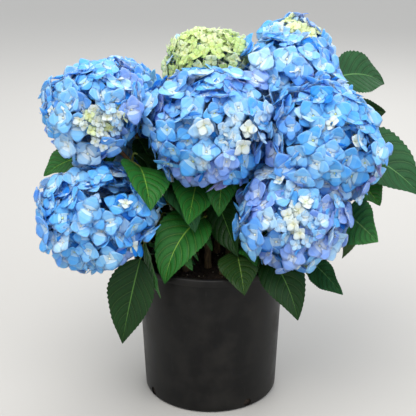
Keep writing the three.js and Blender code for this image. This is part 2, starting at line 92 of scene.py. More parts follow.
# Pot
POT_HEIGHT = 225
FOOT_RADIUS = 98
CORNER_ROUND = 5
BASE_RING = 0.6
BASE_THICKNESS = 3.2
WALL = 2.6
WALL_TOP_RADIUS = 112
WALL_START = 20
WALL_RINGS = 12
LIP_RADIUS = 117
LIP_HEIGHT = 11
LIP_ROUND = 2.5
LIP_FILLET = 2
LIP_BEVEL = (0.8, 0.4)
POT_SIDES = 160
POT_EDGE_ANGLE = 40
DRAIN_RADIUS = 6.5
DRAIN_SIDES = 32
DRAIN_LEVEL = 9
DRAIN_HEADINGS = (-149, -57, 33, 121)
DRILL_LENGTH = 8 * WALL

# Soil
SOIL_TOP = 200
SOIL_CROWN = 4
CROWN_CURVE = 1.5
CLEARANCE = 0.3
SOIL_SIDES = 128
SOIL_WALL_RINGS = 30
SOIL_RINGS = 36
SOIL_LUMP = 11
FINE_LUMP = SOIL_LUMP / 3
SOIL_LUMP_HEIGHT = 2.4
SOIL_SINK = 0.4
# Lumps begin this far below the crown's edge, and this far in from the wall.
LUMP_MARGINS = (0.5, 1)
FINE_LUMP_SHARE = 0.5
CRUMB_SIZES = (1.6, 4.2)
CRUMB_SQUEEZE = (1, 0.7, 0.5)
CRUMBS_PER_M2 = 42000
CRUMB_SHAPES = 4
CRUMB_DENTS = 0.5
# Of every 20 crumbs the first 12 are of the soil's own finish, the next 7 of bark and the last of grit.
CRUMB_KINDS = (0, 12, 19)

# Canes, shoots and petioles: radii from foot to tip, and how their curves leave and arrive
CANE_RADII = (5.4, 4.2)
CANE_POINTS = 34
CANE_RISE = 0.35
CANE_LEAN = 0.3
CANE_JOINT = 31
CANE_SWELLING = 0.09
JOINT_SHARPNESS = 8
SHOOT_RADII = (3.8, 2.9)
SHOOT_POINTS = 44
SHOOT_START = 0.33
SHOOT_END = 0.4
SHOOT_SWELLING = 0.14
SWELLING_LENGTH = 0.02
PETIOLE_RADII = (1.9, 1.3)
PETIOLE_FLARE = 0.7
FLARE_SHARPNESS = 6
PETIOLE_POINTS = 12
PETIOLE_END = 0.45
# For each kind of limb its sides, the height and grain of its relief, and the grain's upright stretch.
LIMB_KINDS = {
    "cane": (20, 0.5, 2.4, 0.22),
    "shoot": (12, 0.16, 1.8, 0.3),
    "petiole": (8, 0.1, 1.8, 1),
    "stalk": (3, 0.05, 2, 1),
}

# Blooms: the stalk with the dent round it, the cymes and the creases between neighbours
STALK_LENGTH = 12
DENT_DEPTH = 0.34
DENT_FROM = 0.55
DENT_TO = 0.95
COUNT_SIZE = 80
CYMES = 13
DOME_RISE = 0.04
VALLEY_DEPTH = 0.11
DOME_LEAN = 4
BLOOM_GAP = 0.6
CREASE_FILL = 13
CREASE_WIDTH = 22
NORMAL_STEP = 0.08
# Petals may stand this far past the bloom's reach, and what is further out is drawn in by this share.
OVERHANG = 9
DRAWN_IN = 0.7
GOLDEN_ANGLE = math.pi * (3 - math.sqrt(5))

# Florets
FLORET_SCATTER = 0.32
FLORET_LEAN = 0.26
MISSING_FLORETS = 0.02
# No floret stands where a wall cuts the reach below this share of the full one, nor round the stalk.
CUT_FLORET = 0.8
STALK_SIDE = 0.84
# Low florets turn further down, and below this height on a ball of radius 1 they are of other tints.
DROOP = 1.1
UNDERSIDE = -0.25
UNDERSIDE_BLUR = 0.3
# Layers of florets in a bloom: how many on one of 80 by 80 mm, how deep they sit as a share of the
# reach and in millimetres, their size, and whether their tints are deepened as painted shade, for the
# deepest florets that show in the gaps.
LAYERS = (
    {"count": 118, "share": 1.0, "depths": (2, 8, 5, 11), "size": (0.86, 1.16), "inside": False},
    {"count": 90, "share": 0.92, "depths": (4, 8), "size": (0.84, 1.02), "inside": False},
    {"count": 46, "share": 0.83, "depths": (1, 6), "size": (0.9, 1.08), "inside": True},
)
# Young florets are smaller and stand closer, in a patch with an uneven border, and a few stray ones.
YOUNG_CROWDING = 0.85
YOUNG_SIZE = 0.5
YOUNG_DEPTH = 0.3
PATCH_BORDER = (0.7, 1.15)
STRAY_FLORETS = 0.05

# Petals: how far each form cups up and curls back, as shares of its length, and how high its sides rise
PETAL_FORMS = {
    "flat": (0.1, 0.02, 0.6),
    "cupped": (0.22, 0.02, 1.3),
    "recurved": (0.34, 0.36, -0.4),
    "hollow": (0.16, 0.1, 1.8),
}
PETAL_LENGTH = 19.5
PETAL_WIDTH = 23
PETAL_THICKNESS = 0.45
PETAL_ROWS = (0.11, 0.3, 0.62, 0.88)
PETAL_COLUMNS = 4
# The zones of a floret, each with a finish of its own, and the zones of a petal's rows from its foot
ZONES = ("rim", "middle", "foot", "eye")
PETAL_ZONES = (2, 1, 0)
PETAL_BELLY = 0.98
PETAL_ROUNDNESS = (0.56, 0.12)
PETAL_SWEEP = 0.2
SWEEP_START = 4
PETAL_START = 0.8
PETAL_POINT = 1.07
EYE_RADIUS = 1.7
EYE_SQUASH = 0.8
EYE_LIFT = 0.8
# How far petals open from flat, and how much their tilt, turn, size and height differ.
FLORET_SPREADS = {
    "Opening": math.radians(9), "Tilt Spread": math.radians(15), "Turn Spread": math.radians(8),
    "Size Spread": 0.1, "Lift": 0.8 * MM,
}

# Stalks inside a bloom: the fork, its branches and the florets' own stalks
FORK_DEPTH = 0.42
FORK_RADIUS = 2.4
BRANCH_COUNT = 9
BRANCH_REACH = 0.5
BRANCH_LEAN = 0.8
BRANCH_BOW = 4
BRANCH_RADII = (1.7, 1.1)
BRANCH_POINTS = 5
BRANCH_FAN = 1.5
FLORET_STALK_RADII = (0.8, 0.6)
FLORET_STALK_POINTS = 4

# Leaves: where a midrib is looked for in the solid, the outline, and the pairs along a shoot
MIDRIB_STATIONS = (0.25, 0.5, 0.78)
MIDRIB_DEPTH = 1.1
TIP_TOLERANCE = 0.1
LEAF_FULLNESS = 0.52
LEAF_BELLY = 0.72
LEAF_ROUNDNESS = 0.85
TIP_NARROWING = 0.28
PETIOLE_WIDTH = 1.6
FOLD = math.radians(14)
PAIR_PLACES = (0.12, 0.32, 0.52, 0.74, 0.94)
PAIR_LENGTHS = (88, 108, 122, 126, 104)
PAIR_LEAN = 0.5
LEAF_WIDTH = 0.62
PETIOLE_LENGTHS = (26, 48)
TRIED_SIZES = (1, 0.8, 0.65)
TRIED_DROPS = (0, -20, -40, -60, 20)
TRIED_TURNS = (0, 25, -25, 50, -50, 75, -75)
# What a leaf tries, in turn, when its place is taken: sizes, petioles, drops and headings.
TRIES = np.array(list(product(TRIED_SIZES, PETIOLE_LENGTHS, TRIED_DROPS, TRIED_TURNS)))
# A leaf's share of its pair's length, its pitch, bend and roll: where each begins, and how far a draw
# takes it at most.
LEAF_DRAWS = ((0.9, 0.2), (-8, -16), (48, 26), (-12, 24))

# Blades: teeth, veins with the quilting between them, the rib below and the wavy margin
TEETH = 19
TOOTH_DEPTH = 0.05
BLADE_COLUMNS = (-1, -0.8, -0.58, -0.36, -0.14, 0, 0.14, 0.36, 0.58, 0.8, 1)
BLADE_THICKNESS = 0.5
BLADE_EDGE_ANGLE = 70
SIDE_VEINS = 8
VEIN_SWEEP = 0.3
VEIN_CURVE = 1.2
QUILTING = 1.7
RIB_HEIGHT = 1.1
RIB_WIDTH = 0.09
RIB_DENT = 0.25
MARGIN_WAVE = 1.6
MARGIN_WAVES = 2.6
WAVE_SHIFT = 0.2

# Canes: the foot in the soil and the tip.
CANES = {
    "left": ((-32, 8), (-52, 12, 278)),
    "left_low": ((-38, -22), (-74, -16, 258)),
    "middle": ((-4, -10), (-6, 6, 270)),
    "right": ((28, 22), (50, 40, 304)),
    "right_side": ((42, -8), (72, -4, 258)),
    "right_low": ((18, -36), (42, -50, 244)),
    "back_left": ((-24, 42), (-40, 66, 256)),
    "back_right": ((10, 50), (16, 76, 250)),
}
BROWN_SHOOTS = ("left", "middle", "right_low")

# Blooms: cane, centre, half width, half height, and the lean of the axis as a heading and a tilt.
BLOOMS = {
    name: {"cane": cane, "at": at, "radius": radius, "rise": rise, "lean": lean}
    for name, cane, at, radius, rise, lean in (
        ("left_upper", "left", (-168, -20, 448), 74, 68, (200, 30)),
        ("left_inner", "left", (-134, 66, 460), 54, 52, (150, 18)),
        ("left_low", "left_low", (-161, -70, 306), 90, 72, (205, 42)),
        ("left_side", "left_low", (-150, 84, 312), 70, 62, (152, 45)),
        ("middle", "middle", (1, -30, 422), 92, 82, (-92, 20)),
        ("green", "middle", (-5, 92, 494), 67, 52, (95, 8)),
        ("right_upper", "right", (124, 50, 464), 76, 70, (10, 18)),
        ("right_top", "right", (129, 132, 508), 53, 50, (180, 18)),
        ("right_middle", "right_side", (162, -58, 414), 84, 80, (-60, 40)),
        ("right_side", "right_side", (150, 92, 318), 68, 60, (25, 45)),
        ("right_low", "right_low", (119, -90, 308), 80, 69, (-50, 40)),
        ("back_left", "back_left", (-98, 150, 384), 78, 70, (122, 32)),
        ("back_right", "back_right", (76, 168, 400), 76, 70, (70, 30)),
        ("back_low", "back_right", (-2, 186, 300), 74, 64, (92, 48)),
    )
}

# Where a bloom is fuller or flatter than its plain form: heading, pitch and spread in degrees, height.
BULGES = {
    "middle": ((172, 38, 36, 10), (0, 40, 30, 5), (-30, -30, 20, -13)),
    "right_upper": ((212, 38, 40, 24),),
    "left_upper": ((170, -15, 30, 5), (-100, -45, 30, 6)),
    "left_inner": ((-90, 80, 60, -12),),
    "right_low": ((0, 0, 52, -10), (182, 5, 45, 5)),
    "left_low": ((-110, -35, 30, 5), (190, 15, 40, 4)),
    "right_middle": ((-20, -30, 30, 5), (-130, 20, 30, 4), (-174, -26, 28, -20), (2, 36, 24, -12)),
}

# Where a bloom stands open, with no florets: heading, pitch and spread in degrees.
OPENINGS = {"left_low": (-60, 49, 19)}

# Shoots that end in leaves and bear no bloom.
LEAFY_SHOOTS = {"right_leafy": {"cane": "right_side", "end": (188, 10, 362), "lean": (0, 40)}}

# Leaves that show at the front and the sides: shoot, how far along it, base and tip of the blade,
# then its bend, width, roll and green, which paints the light and shade that fall on the leaf.
SHOWN_LEAVES = (
    ("left_upper", 0.8, (-103, -40, 371), (-83, -122, 333), 62, 76, 22, "mid"),
    ("middle", 0.9, (-14, 26, 353), (-32, -111, 308), 20, 81, 17, "mid"),
    ("middle", 0.15, (-10, -38, 292), (-66, -108, 216), 79, 74, 22, "mid"),
    ("middle", 0.4, (7, -19, 318), (39, -86, 249), 9, 58, -58, "dark"),
    ("right_low", 0.3, (45, -36, 247), (65, -113, 246), 43, 39, -7, "mid"),
    ("right_low", 0.12, (38, -64, 248), (47, -146, 216), 22, 61, -11, "olive"),
    ("right_low", 0.7, (82, -70, 248), (124, -134, 171), 51, 64, -39, "dark"),
    ("right_low", 0.95, (147, -48, 229), (189, -116, 203), 12, 46, -75, "grey"),
    ("left_low", 0.9, (-101, -93, 249), (-129, -115, 124), 7, 71, 33, "dark"),
    ("left_low", 0.8, (-95, -78, 268), (-71, -128, 203), 16, 43, -95, "mid"),
    ("right_top", 0.95, (192, 102, 469), (282, 171, 444), 43, 73, -55, "grey"),
    ("right_leafy", 0.98, (199, 36, 380), (314, -9, 315), 38, 98, -37, "grey"),
    ("right_leafy", 0.7, (202, -26, 294), (235, -113, 283), 7, 73, -63, "light"),
    ("right_leafy", 0.95, (210, 40, 416), (260, 26, 435), 50, 60, -100, "olive"),
    ("right_leafy", 0.8, (214, 20, 331), (254, -8, 299), 40, 60, -20, "mid"),
    ("right_upper", 0.1, (40, 20, 330), (104, 30, 342), 40, 56, -20, "dark"),
    ("left_upper", 0.95, (-185, 5, 372), (-247, -12, 347), 40, 56, 25, "mid"),
)

# Petal tints, each the colours of a petal's rim, its middle and its paler foot.
PETAL_TINTS = {
    "cornflower": ("#5a98ef", "#69a4f1", "#abcff7"),
    "azure": ("#4f9ff0", "#62abf2", "#a8d5f8"),
    "sky": ("#72b4f6", "#84c0f7", "#c2e2f9"),
    "deep": ("#1f78dd", "#348be4", "#75b5f1"),
    "periwinkle": ("#789cec", "#89a9ef", "#bfd3f6"),
    "lavender": ("#9299e2", "#a0a6e7", "#cbd0f3"),
    "pale": ("#9bc9f6", "#aad4f7", "#d8edf9"),
    "cream": ("#dbeceb", "#e4f0e6", "#ecf0d0"),
    "green": ("#b4d578", "#c3de88", "#d3e385"),
    "lime": ("#cfe3a0", "#dbeab0", "#e2eb9d"),
}

# How often each tint comes in a bloom, by its kind.
MIXES = {
    # The palest mix is painted light: the highest blooms wear it, as they stand in the most light from above.
    "light": {"sky": 7, "azure": 5, "cornflower": 3, "periwinkle": 1, "pale": 2},
    "blue": {"cornflower": 5, "azure": 5, "sky": 5, "deep": 1, "periwinkle": 2, "pale": 1},
    "azure": {"azure": 8, "sky": 4, "cornflower": 3, "deep": 2, "pale": 1},
    "violet": {"periwinkle": 5, "lavender": 1, "cornflower": 3, "sky": 4, "azure": 3, "pale": 2},
    "lilac": {"lavender": 4, "periwinkle": 5, "cornflower": 2, "sky": 1},
    "white": {"pale": 5, "cream": 5, "sky": 3},
    "cream_white": {"cream": 8, "pale": 3, "lime": 2},
    "faded": {"pale": 6, "sky": 3, "cream": 2},
    "lime_white": {"cream": 5, "lime": 4, "pale": 2, "sky": 1},
    "young": {"green": 7, "lime": 6, "pale": 1},
    # Deeper blues as painted shade, for the inner florets that show in the gaps between the outer ones.
    "inside": {"deep": 7, "azure": 5},
}

# Each bloom's mix, the mix on its underside, and a patch of young florets: its mix, heading, pitch,
# spread in degrees and the size of its florets. The highest blooms wear the palest mix as painted light
# from above.
BLOOM_COLOURS = {
    "left_upper": ("light", "violet", ("cream_white", -75, 0, 27, 0.42)),
    "left_inner": ("light", "violet", ("white", -30, 50, 16, 0.5)),
    "left_low": ("azure", "blue", None),
    "left_side": ("azure", "blue", None),
    "middle": ("blue", "lilac", ("faded", -65, 8, 22, 0.64)),
    "green": ("young", "young", ("young", 0, 0, 200, 0.48)),
    "right_upper": ("light", "violet", None),
    "right_top": ("light", "blue", ("lime_white", -90, 58, 46, 0.5)),
    "right_middle": ("blue", "violet", None),
    "right_side": ("blue", "violet", None),
    "right_low": ("violet", "violet", ("white", -92, 12, 27, 0.55)),
    "back_left": ("azure", "blue", None),
    "back_right": ("blue", "lilac", ("white", 60, 40, 24, 0.5)),
    "back_low": ("violet", "lilac", None),
}


# Small helpers

def linear(colour):
    """An sRGB hex colour as linear red, green, blue and alpha."""
    parts = [int(colour[i : i + 2], 16) / 255 for i in (1, 3, 5)]
    return [c / 12.92 if c <= 0.04045 else ((c + 0.055) / 1.055) ** 2.4 for c in parts] + [1]


def seeded_numbers(seed):
    """A seeded source of numbers from 0 to 1, the same as the CAD solids' own."""
    state = seed
    while True:
        state = (state * 1664525 + 1013904223) % 2**32
        yield state / 2**32


def pointing(heading, pitch):
    """Unit vectors at headings round the plant and pitches above level, both in radians."""
    level = np.cos(pitch)
    return np.stack([np.cos(heading) * level, np.sin(heading) * level, np.sin(pitch) + 0 * heading], axis=-1)


def unit(vectors):
    return vectors / np.linalg.norm(vectors, axis=-1, keepdims=True)


def smoothstep(start, end, value):
    part = np.clip((value - start) / (end - start), 0, 1)
    return part * part * (3 - 2 * part)


def degrees_from(directions, heading, pitch):
    """The angle of each direction from the one at a heading and pitch, all in degrees."""
    centre = pointing(np.radians(heading), np.radians(pitch))
    return np.degrees(np.arccos(np.clip(directions @ centre, -1, 1)))


def per_mm(size):
    """The scale of a pattern whose grain is that many millimetres."""
    return 1 / (size * MM)


def feed(tree, node, inputs):
    """Gives each of a node's inputs, by its name or place, a value or a link."""
    shown = [socket for socket in node.inputs if socket.enabled]
    for key, value in inputs.items():
        socket = shown[key] if isinstance(key, int) else next(s for s in shown if s.name == key)
        if isinstance(value, bpy.types.Node):
            value = next(output for output in value.outputs if output.enabled)
        if isinstance(value, bpy.types.NodeSocket):
            tree.links.new(value, socket)
        else:
            socket.default_value = value


def add(tree, kind, inputs=None, **settings):
    """Adds a node with its settings and links. Its kind leaves out the usual word in front, such as
    ShaderNode."""
    words = ("ShaderNode", "GeometryNode", "FunctionNode", "")
    node = tree.nodes.new(next(word + kind for word in words if hasattr(bpy.types, word + kind)))
    for name, value in settings.items():
        setattr(node, name, value)
    feed(tree, node, inputs or {})
    return node


def mesh_of(name, points, faces=(), edges=()):
    """A mesh from points in millimetres."""
    mesh = bpy.data.meshes.new(name)
    mesh.from_pydata((np.asarray(points) * MM).tolist(), edges, faces)
    mesh.shade_smooth()
    return mesh


def piece_of(name, mesh):
    piece = bpy.data.objects.new(name, mesh)
    bpy.context.scene.collection.objects.link(piece)
    return piece


def plain_mesh(piece):
    """What a piece's modifiers make of it, as a plain mesh. The modifiers go."""
    depsgraph = bpy.context.evaluated_depsgraph_get()
    mesh = bpy.data.meshes.new_from_object(piece.evaluated_get(depsgraph), depsgraph=depsgraph)
    piece.modifiers.clear()
    return mesh


def set_attribute(mesh, name, kind, domain, values):
    attribute = mesh.attributes.new(name, kind, domain)
    field = "vector" if kind == "FLOAT_VECTOR" else "value"
    attribute.data.foreach_set(field, np.asarray(values).ravel())


def smooth_by_angle(mesh, angle):
    """Smooth shading that keeps edges sharper than the angle."""
    mesh.shade_smooth()
    mesh.set_sharp_from_angle(angle=math.radians(angle))


def keep_used_finishes(mesh):
    """Drops the finishes that none of a mesh's faces wears."""
    numbers = np.zeros(len(mesh.polygons), int)
    mesh.polygons.foreach_get("material_index", numbers)
    used = np.unique(numbers)
    worn = [mesh.materials[number] for number in used]
    mesh.materials.clear()
    for finish in worn:
        mesh.materials.append(finish)
    mesh.polygons.foreach_set("material_index", np.searchsorted(used, numbers))


def dressed(piece, node):
    """Puts a finished piece in the frame, in place of its CAD node."""
    keep_used_finishes(piece.data)
    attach(piece, "root")
    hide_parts(node)
    return piece


# Curves

def bezier(handles, t):
    """Points at shares t along the curve of two to four handles."""
    t = np.asarray(t, float)[..., None]
    places = list(handles)
    while len(places) > 1:
        places = [here + (following - here) * t for here, following in zip(places, places[1:])]
    return places[0]


def bezier_direction(handles, t):
    return unit(bezier(np.diff(handles, axis=0), t))


def even_points(handles, count):
    """Points at even distances along a curve, with how far along each is, from 0 to 1."""
    fine = bezier(handles, np.linspace(0, 1, FINE_STEPS))
    run = np.concatenate([[0], np.cumsum(np.linalg.norm(np.diff(fine, axis=0), axis=1))])
    share = np.linspace(0, 1, count)
    return np.stack([np.interp(share * run[-1], run, fine[:, k]) for k in range(3)], axis=-1), share


# The rule of blooms, canes and shoots

def axis_of(plan):
    heading, tilt = plan["lean"]
    return pointing(np.radians(heading), np.radians(90 - tilt))


def ellipsoid_radius(bloom, directions):
    across = np.hypot(directions[..., 0], directions[..., 1]) / bloom["radius"]
    return 1 / np.hypot(across, directions[..., 2] / bloom["rise"])


def walls_of(name):
    """Blooms that press on each other meet at a flat wall, which each keeps clear of."""
    bloom = BLOOMS[name]
    walls = []
    for other in BLOOMS.values():
        if other is bloom:
            continue
        towards = np.subtract(other["at"], bloom["at"])
        distance = np.linalg.norm(towards)
        towards = towards / distance
        own = ellipsoid_radius(bloom, towards)
        theirs = ellipsoid_radius(other, towards)
        if own + theirs > distance:
            wall = (distance**2 + own**2 - theirs**2) / (2 * distance)
            walls.append((towards, wall - BLOOM_GAP))
    return walls


WALLS = {name: walls_of(name) for name in BLOOMS}


def bloom_reach(name, directions, bulges=(), crease_fill=0):
    """How far a bloom reaches from its centre: an ellipsoid, dented round its stalk, up to its walls.
    Its florets have bulges too, and fill the creases between blooms."""
    bloom = BLOOMS[name]
    dent = DENT_DEPTH * smoothstep(DENT_FROM, DENT_TO, -directions @ axis_of(bloom))
    reach = ellipsoid_radius(bloom, directions) * (1 - dent)
    for towards, wall in WALLS[name]:
        facing = directions @ towards
        short = wall - reach * facing
        reach = reach + crease_fill * np.exp(-((short / CREASE_WIDTH) ** 2))
        reach = np.where(facing > TINY, np.minimum(reach, wall / np.maximum(facing, TINY)), reach)
    for heading, pitch, spread, height in bulges:
        reach = reach + height * np.exp(-((degrees_from(directions, heading, pitch) / spread) ** 2))
    return reach


def floret_reach(name, directions):
    return bloom_reach(name, directions, BULGES.get(name, ()), CREASE_FILL)


def floret_normal(name, directions):
    """Which way the bloom's surface faces, from points a small step to each side."""
    side = unit(np.cross(directions, unit(UP + OFF_UPRIGHT)))
    across = []
    for step in (NORMAL_STEP * side, NORMAL_STEP * np.cross(side, directions)):
        sides = unit(directions + step), unit(directions - step)
        ahead, behind = [towards * floret_reach(name, towards)[:, None] for towards in sides]
        across.append(ahead - behind)
    return unit(np.cross(across[1], across[0]))


def bloom_foot(name):
    axis = axis_of(BLOOMS[name])
    return np.array(BLOOMS[name]["at"]) - axis * (bloom_reach(name, -axis) + STALK_LENGTH)


def cane_handles(name):
    (x, y), tip = CANES[name]
    start = np.array([x, y, SOIL_TOP], float)
    upright = start + UP * CANE_RISE * (tip[2] - SOIL_TOP)
    return start, upright, tip + CANE_LEAN * (start - tip), np.array(tip, float)


def shoot_handles(name):
    plan = BLOOMS.get(name) or LEAFY_SHOOTS[name]
    cane = cane_handles(plan["cane"])
    away = bezier_direction(cane, 1)
    start = cane[3] + away * CLEARANCE
    end = bloom_foot(name) if name in BLOOMS else np.array(plan["end"], float)
    span = np.linalg.norm(end - start)
    return start, start + away * SHOOT_START * span, end - axis_of(plan) * SHOOT_END * span, end


SHOOTS = {
    name: {"cane": plan["cane"], "handles": shoot_handles(name), "leaves": []}
    for name, plan in {**BLOOMS, **LEAFY_SHOOTS}.items()
}


# The rule of leaves

def blade_frame(leaf, s):
    """Place, forward, side and face of the midrib, an arc from the base to the tip, at places s.
    The leaf's numbers may be arrays, for many leaves at once."""
    chord = leaf["tip"] - leaf["base"]
    distance = np.linalg.norm(chord, axis=-1)[..., None]
    heading = np.arctan2(chord[..., 1], chord[..., 0])[..., None]
    bow = math.radians(leaf["bend"])
    length = distance * (bow / 2) / math.sin(bow / 2)
    first = np.arcsin(chord[..., 2][..., None] / distance) + bow / 2
    pitch = first - bow * s
    along = length * (np.sin(first) - np.sin(pitch)) / bow
    up = length * (np.cos(pitch) - np.cos(first)) / bow
    heading = heading + 0 * pitch
    place = leaf["base"][..., None, :] + along[..., None] * pointing(heading, 0 * pitch) + up[..., None] * UP
    forward = pointing(heading, pitch)
    level = np.stack([np.sin(heading), -np.cos(heading), 0 * heading], axis=-1)
    above = np.cross(level, forward)
    turn = math.radians(leaf["roll"])
    side = level * math.cos(turn) + above * math.sin(turn)
    face = above * math.cos(turn) - level * math.sin(turn)
    return place, forward, side, face


def solid_of(node):
    """A CAD node's surface in millimetres."""
    mesh = frame["nodes"][node].data
    points = [vertex.co / MM for vertex in mesh.vertices]
    return BVHTree.FromPolygons(points, [tuple(face.vertices) for face in mesh.polygons])


def add_rule_leaves(name, seed):
    """Opposite pairs, each a quarter turn on from the last, that fill what the shown leaves leave free.
    The solid of the shoot tells which try found room: a leaf stands where it has that leaf's midrib."""
    shoot = SHOOTS[name]
    solid = solid_of(f"leaves_{shoot['cane']}")
    random = seeded_numbers(seed)
    size, petiole, drop, aside = TRIES.T
    turn = math.pi * next(random)
    for pair, along in enumerate(PAIR_PLACES):
        root = bezier(shoot["handles"], along)
        forward = bezier_direction(shoot["handles"], along)
        side = unit(np.array([forward[1], -forward[0], OFF_LEVEL]))
        above = np.cross(side, forward)
        for half in (0, 1):
            angle = turn + pair * math.pi / 2 + half * math.pi
            arm = side * math.cos(angle) + above * math.sin(angle)
            share, pitch, bend, roll = [first + most * next(random) for first, most in LEAF_DRAWS]
            length = PAIR_LENGTHS[pair] * share * size
            out = unit(arm + PAIR_LEAN * forward)
            heading = math.atan2(out[1], out[0])
            base = root + petiole[:, None] * out
            chord = pointing(heading + np.radians(aside), np.radians(pitch + drop))
            tip = base + length[:, None] * chord
            many = {"root": root, "base": base, "tip": tip, "bend": bend, "roll": roll}
            for k, midrib in enumerate(blade_frame(many, np.array(MIDRIB_STATIONS))[0]):
                on_tip = solid.find_nearest(tip[k])[3] < TIP_TOLERANCE
                if on_tip and all(solid.find_nearest(place)[3] < MIDRIB_DEPTH for place in midrib):
                    own = {"base": base[k], "tip": tip[k], "width": LEAF_WIDTH * length[k]}
                    shoot["leaves"].append({**many, **own})
                    break


def hang_leaves():
    for name, along, base, tip, bend, width, roll, green in SHOWN_LEAVES:
        root = bezier(SHOOTS[name]["handles"], along)
        leaf = {"root": root, "base": np.array(base, float), "tip": np.array(tip, float)}
        SHOOTS[name]["leaves"].append({**leaf, "bend": bend, "width": width, "roll": roll, "green": green})
    for index, name in enumerate(SHOOTS):
        add_rule_leaves(name, SHARED_SEED + index)


# Materials

def new_material(name, colour, roughness, more=None):
    """A Principled material with its plain values."""
    material = bpy.data.materials.new(name)
    material.use_nodes = True
    tree = material.node_tree
    shader = tree.nodes["Principled BSDF"]
    feed(tree, shader, {"Base Color": linear(colour), "Roughness": roughness, **(more or {})})
    return material, tree, shader


def petal_finish(name, colour):
    """Living petal: thin and soft, satin, with a fine grain that shows as a faint relief."""
    material, tree, shader = new_material(name, colour, 0.55, {
        "IOR": 1.42, "Specular IOR Level": 0.15, "Subsurface Weight": 0.5, "Subsurface Scale": 0.003,
        "Subsurface Radius": (1, 1, 1),
    })
    place = add(tree, "TexCoord").outputs["Object"]
    grain = add(tree, "TexNoise", {"Vector": place, "Scale": per_mm(1.6), "Detail": 3.0})
    gloss = add(tree, "MapRange", {"Value": grain, "To Min": 0.45, "To Max": 0.7})
    relief = add(tree, "Bump", {"Height": grain, "Strength": 0.35, "Distance": 0.3 * MM})
    feed(tree, shader, {"Roughness": gloss, "Normal": relief})
    return material


def leaf_finish(name, colour, vein_colour, hollow_shade_colour):
    """Leaf blade, upper side: satin wax over green, with a bright midrib and paler side veins. Painted shade
    darkens the grooves beside the side veins, and painted light brightens the quilted panels between them.
    """
    material, tree, shader = new_material(name, colour, 0.42, {"IOR": 1.45, "Specular IOR Level": 0.2})
    blade = add(tree, "TexCoord").outputs
    place = add(tree, "SeparateXYZ", {"Vector": blade["UV"]}).outputs
    across = add(tree, "Math", {0: place["X"], 1: 2.0, 2: -1.0}, operation="MULTIPLY_ADD")
    across = add(tree, "Math", {0: across}, operation="ABSOLUTE")
    swept = add(tree, "Math", {0: across, 1: VEIN_CURVE}, operation="POWER")
    phase = add(tree, "Math", {0: swept, 1: -VEIN_SWEEP, 2: place["Y"]}, operation="MULTIPLY_ADD")
    phase = add(tree, "Math", {0: phase, 1: float(SIDE_VEINS)}, operation="MULTIPLY")
    phase = add(tree, "Math", {0: phase, 1: 0.5}, operation="PINGPONG")
    side_vein = add(tree, "MapRange", {
        "Value": phase, "From Max": 0.08, "To Min": 0.3, "To Max": 0.0,
    }, interpolation_type="SMOOTHSTEP")
    rib_width = add(tree, "MapRange", {"Value": place["Y"], "To Min": 0.034, "To Max": 0.008})
    rib = add(tree, "Math", {0: across, 1: rib_width}, operation="LESS_THAN")
    veins = add(tree, "Math", {0: side_vein, 1: rib}, operation="MAXIMUM")
    clouds = add(tree, "TexNoise", {"Vector": blade["Object"], "Scale": per_mm(26), "Detail": 4.0})
    # Painted shade and light over the leaf's own cloudy tone: the green darkens to the hollow colour in the
    # grooves along the side veins and lightens in the middle of each panel.
    panel = add(tree, "MapRange", {"Value": phase, "From Max": 0.36}, interpolation_type="SMOOTHSTEP")
    shade_and_tone = add(tree, "Math", {0: clouds, 1: 0.6, 2: -0.05}, operation="MULTIPLY_ADD")
    shade_and_tone = add(tree, "Math", {0: panel, 1: 0.55, 2: shade_and_tone}, operation="MULTIPLY_ADD")
    green = linear(hollow_shade_colour)
    for share, other in ((shade_and_tone, colour), (veins, vein_colour)):
        green = add(tree, "Mix", {"Factor": share, "A": green, "B": linear(other)}, data_type="RGBA")
    net = add(tree, "TexVoronoi", {
        "Vector": blade["Object"], "Scale": per_mm(3.4),
    }, feature="DISTANCE_TO_EDGE")
    hollow = add(tree, "MapRange", {"Value": net, "From Max": 0.25, "To Max": 0.35})
    height = add(tree, "Math", {0: panel, 1: hollow}, operation="ADD")
    relief = add(tree, "Bump", {"Height": height, "Strength": 0.7, "Distance": 0.9 * MM})
    gloss = add(tree, "MapRange", {"Value": clouds, "To Min": 0.3, "To Max": 0.5})
    feed(tree, shader, {"Base Color": green, "Normal": relief, "Roughness": gloss})
    return material


def rough_finish(name, colour, other_colour, grain, roughness, relief_height, stretch=1.0):
    """Bark, stem skin, soil or leaf back: two colours in a grain, with a relief of the same grain."""
    material, tree, shader = new_material(name, colour, roughness)
    place = add(tree, "TexCoord").outputs["Object"]
    drawn = add(tree, "Mapping", {"Vector": place, "Scale": (1, 1, stretch)})
    fibres = add(tree, "TexNoise", {"Vector": drawn, "Scale": per_mm(grain), "Detail": 5.0})
    share = add(tree, "MapRange", {"Value": fibres, "From Min": 0.38, "From Max": 0.64})
    colours = {"A": linear(colour), "B": linear(other_colour)}
    skin = add(tree, "Mix", {"Factor": share, **colours}, data_type="RGBA")
    relief = add(tree, "Bump", {"Height": fibres, "Strength": 0.6, "Distance": relief_height * MM})
    feed(tree, shader, {"Base Color": skin, "Normal": relief})
    return material


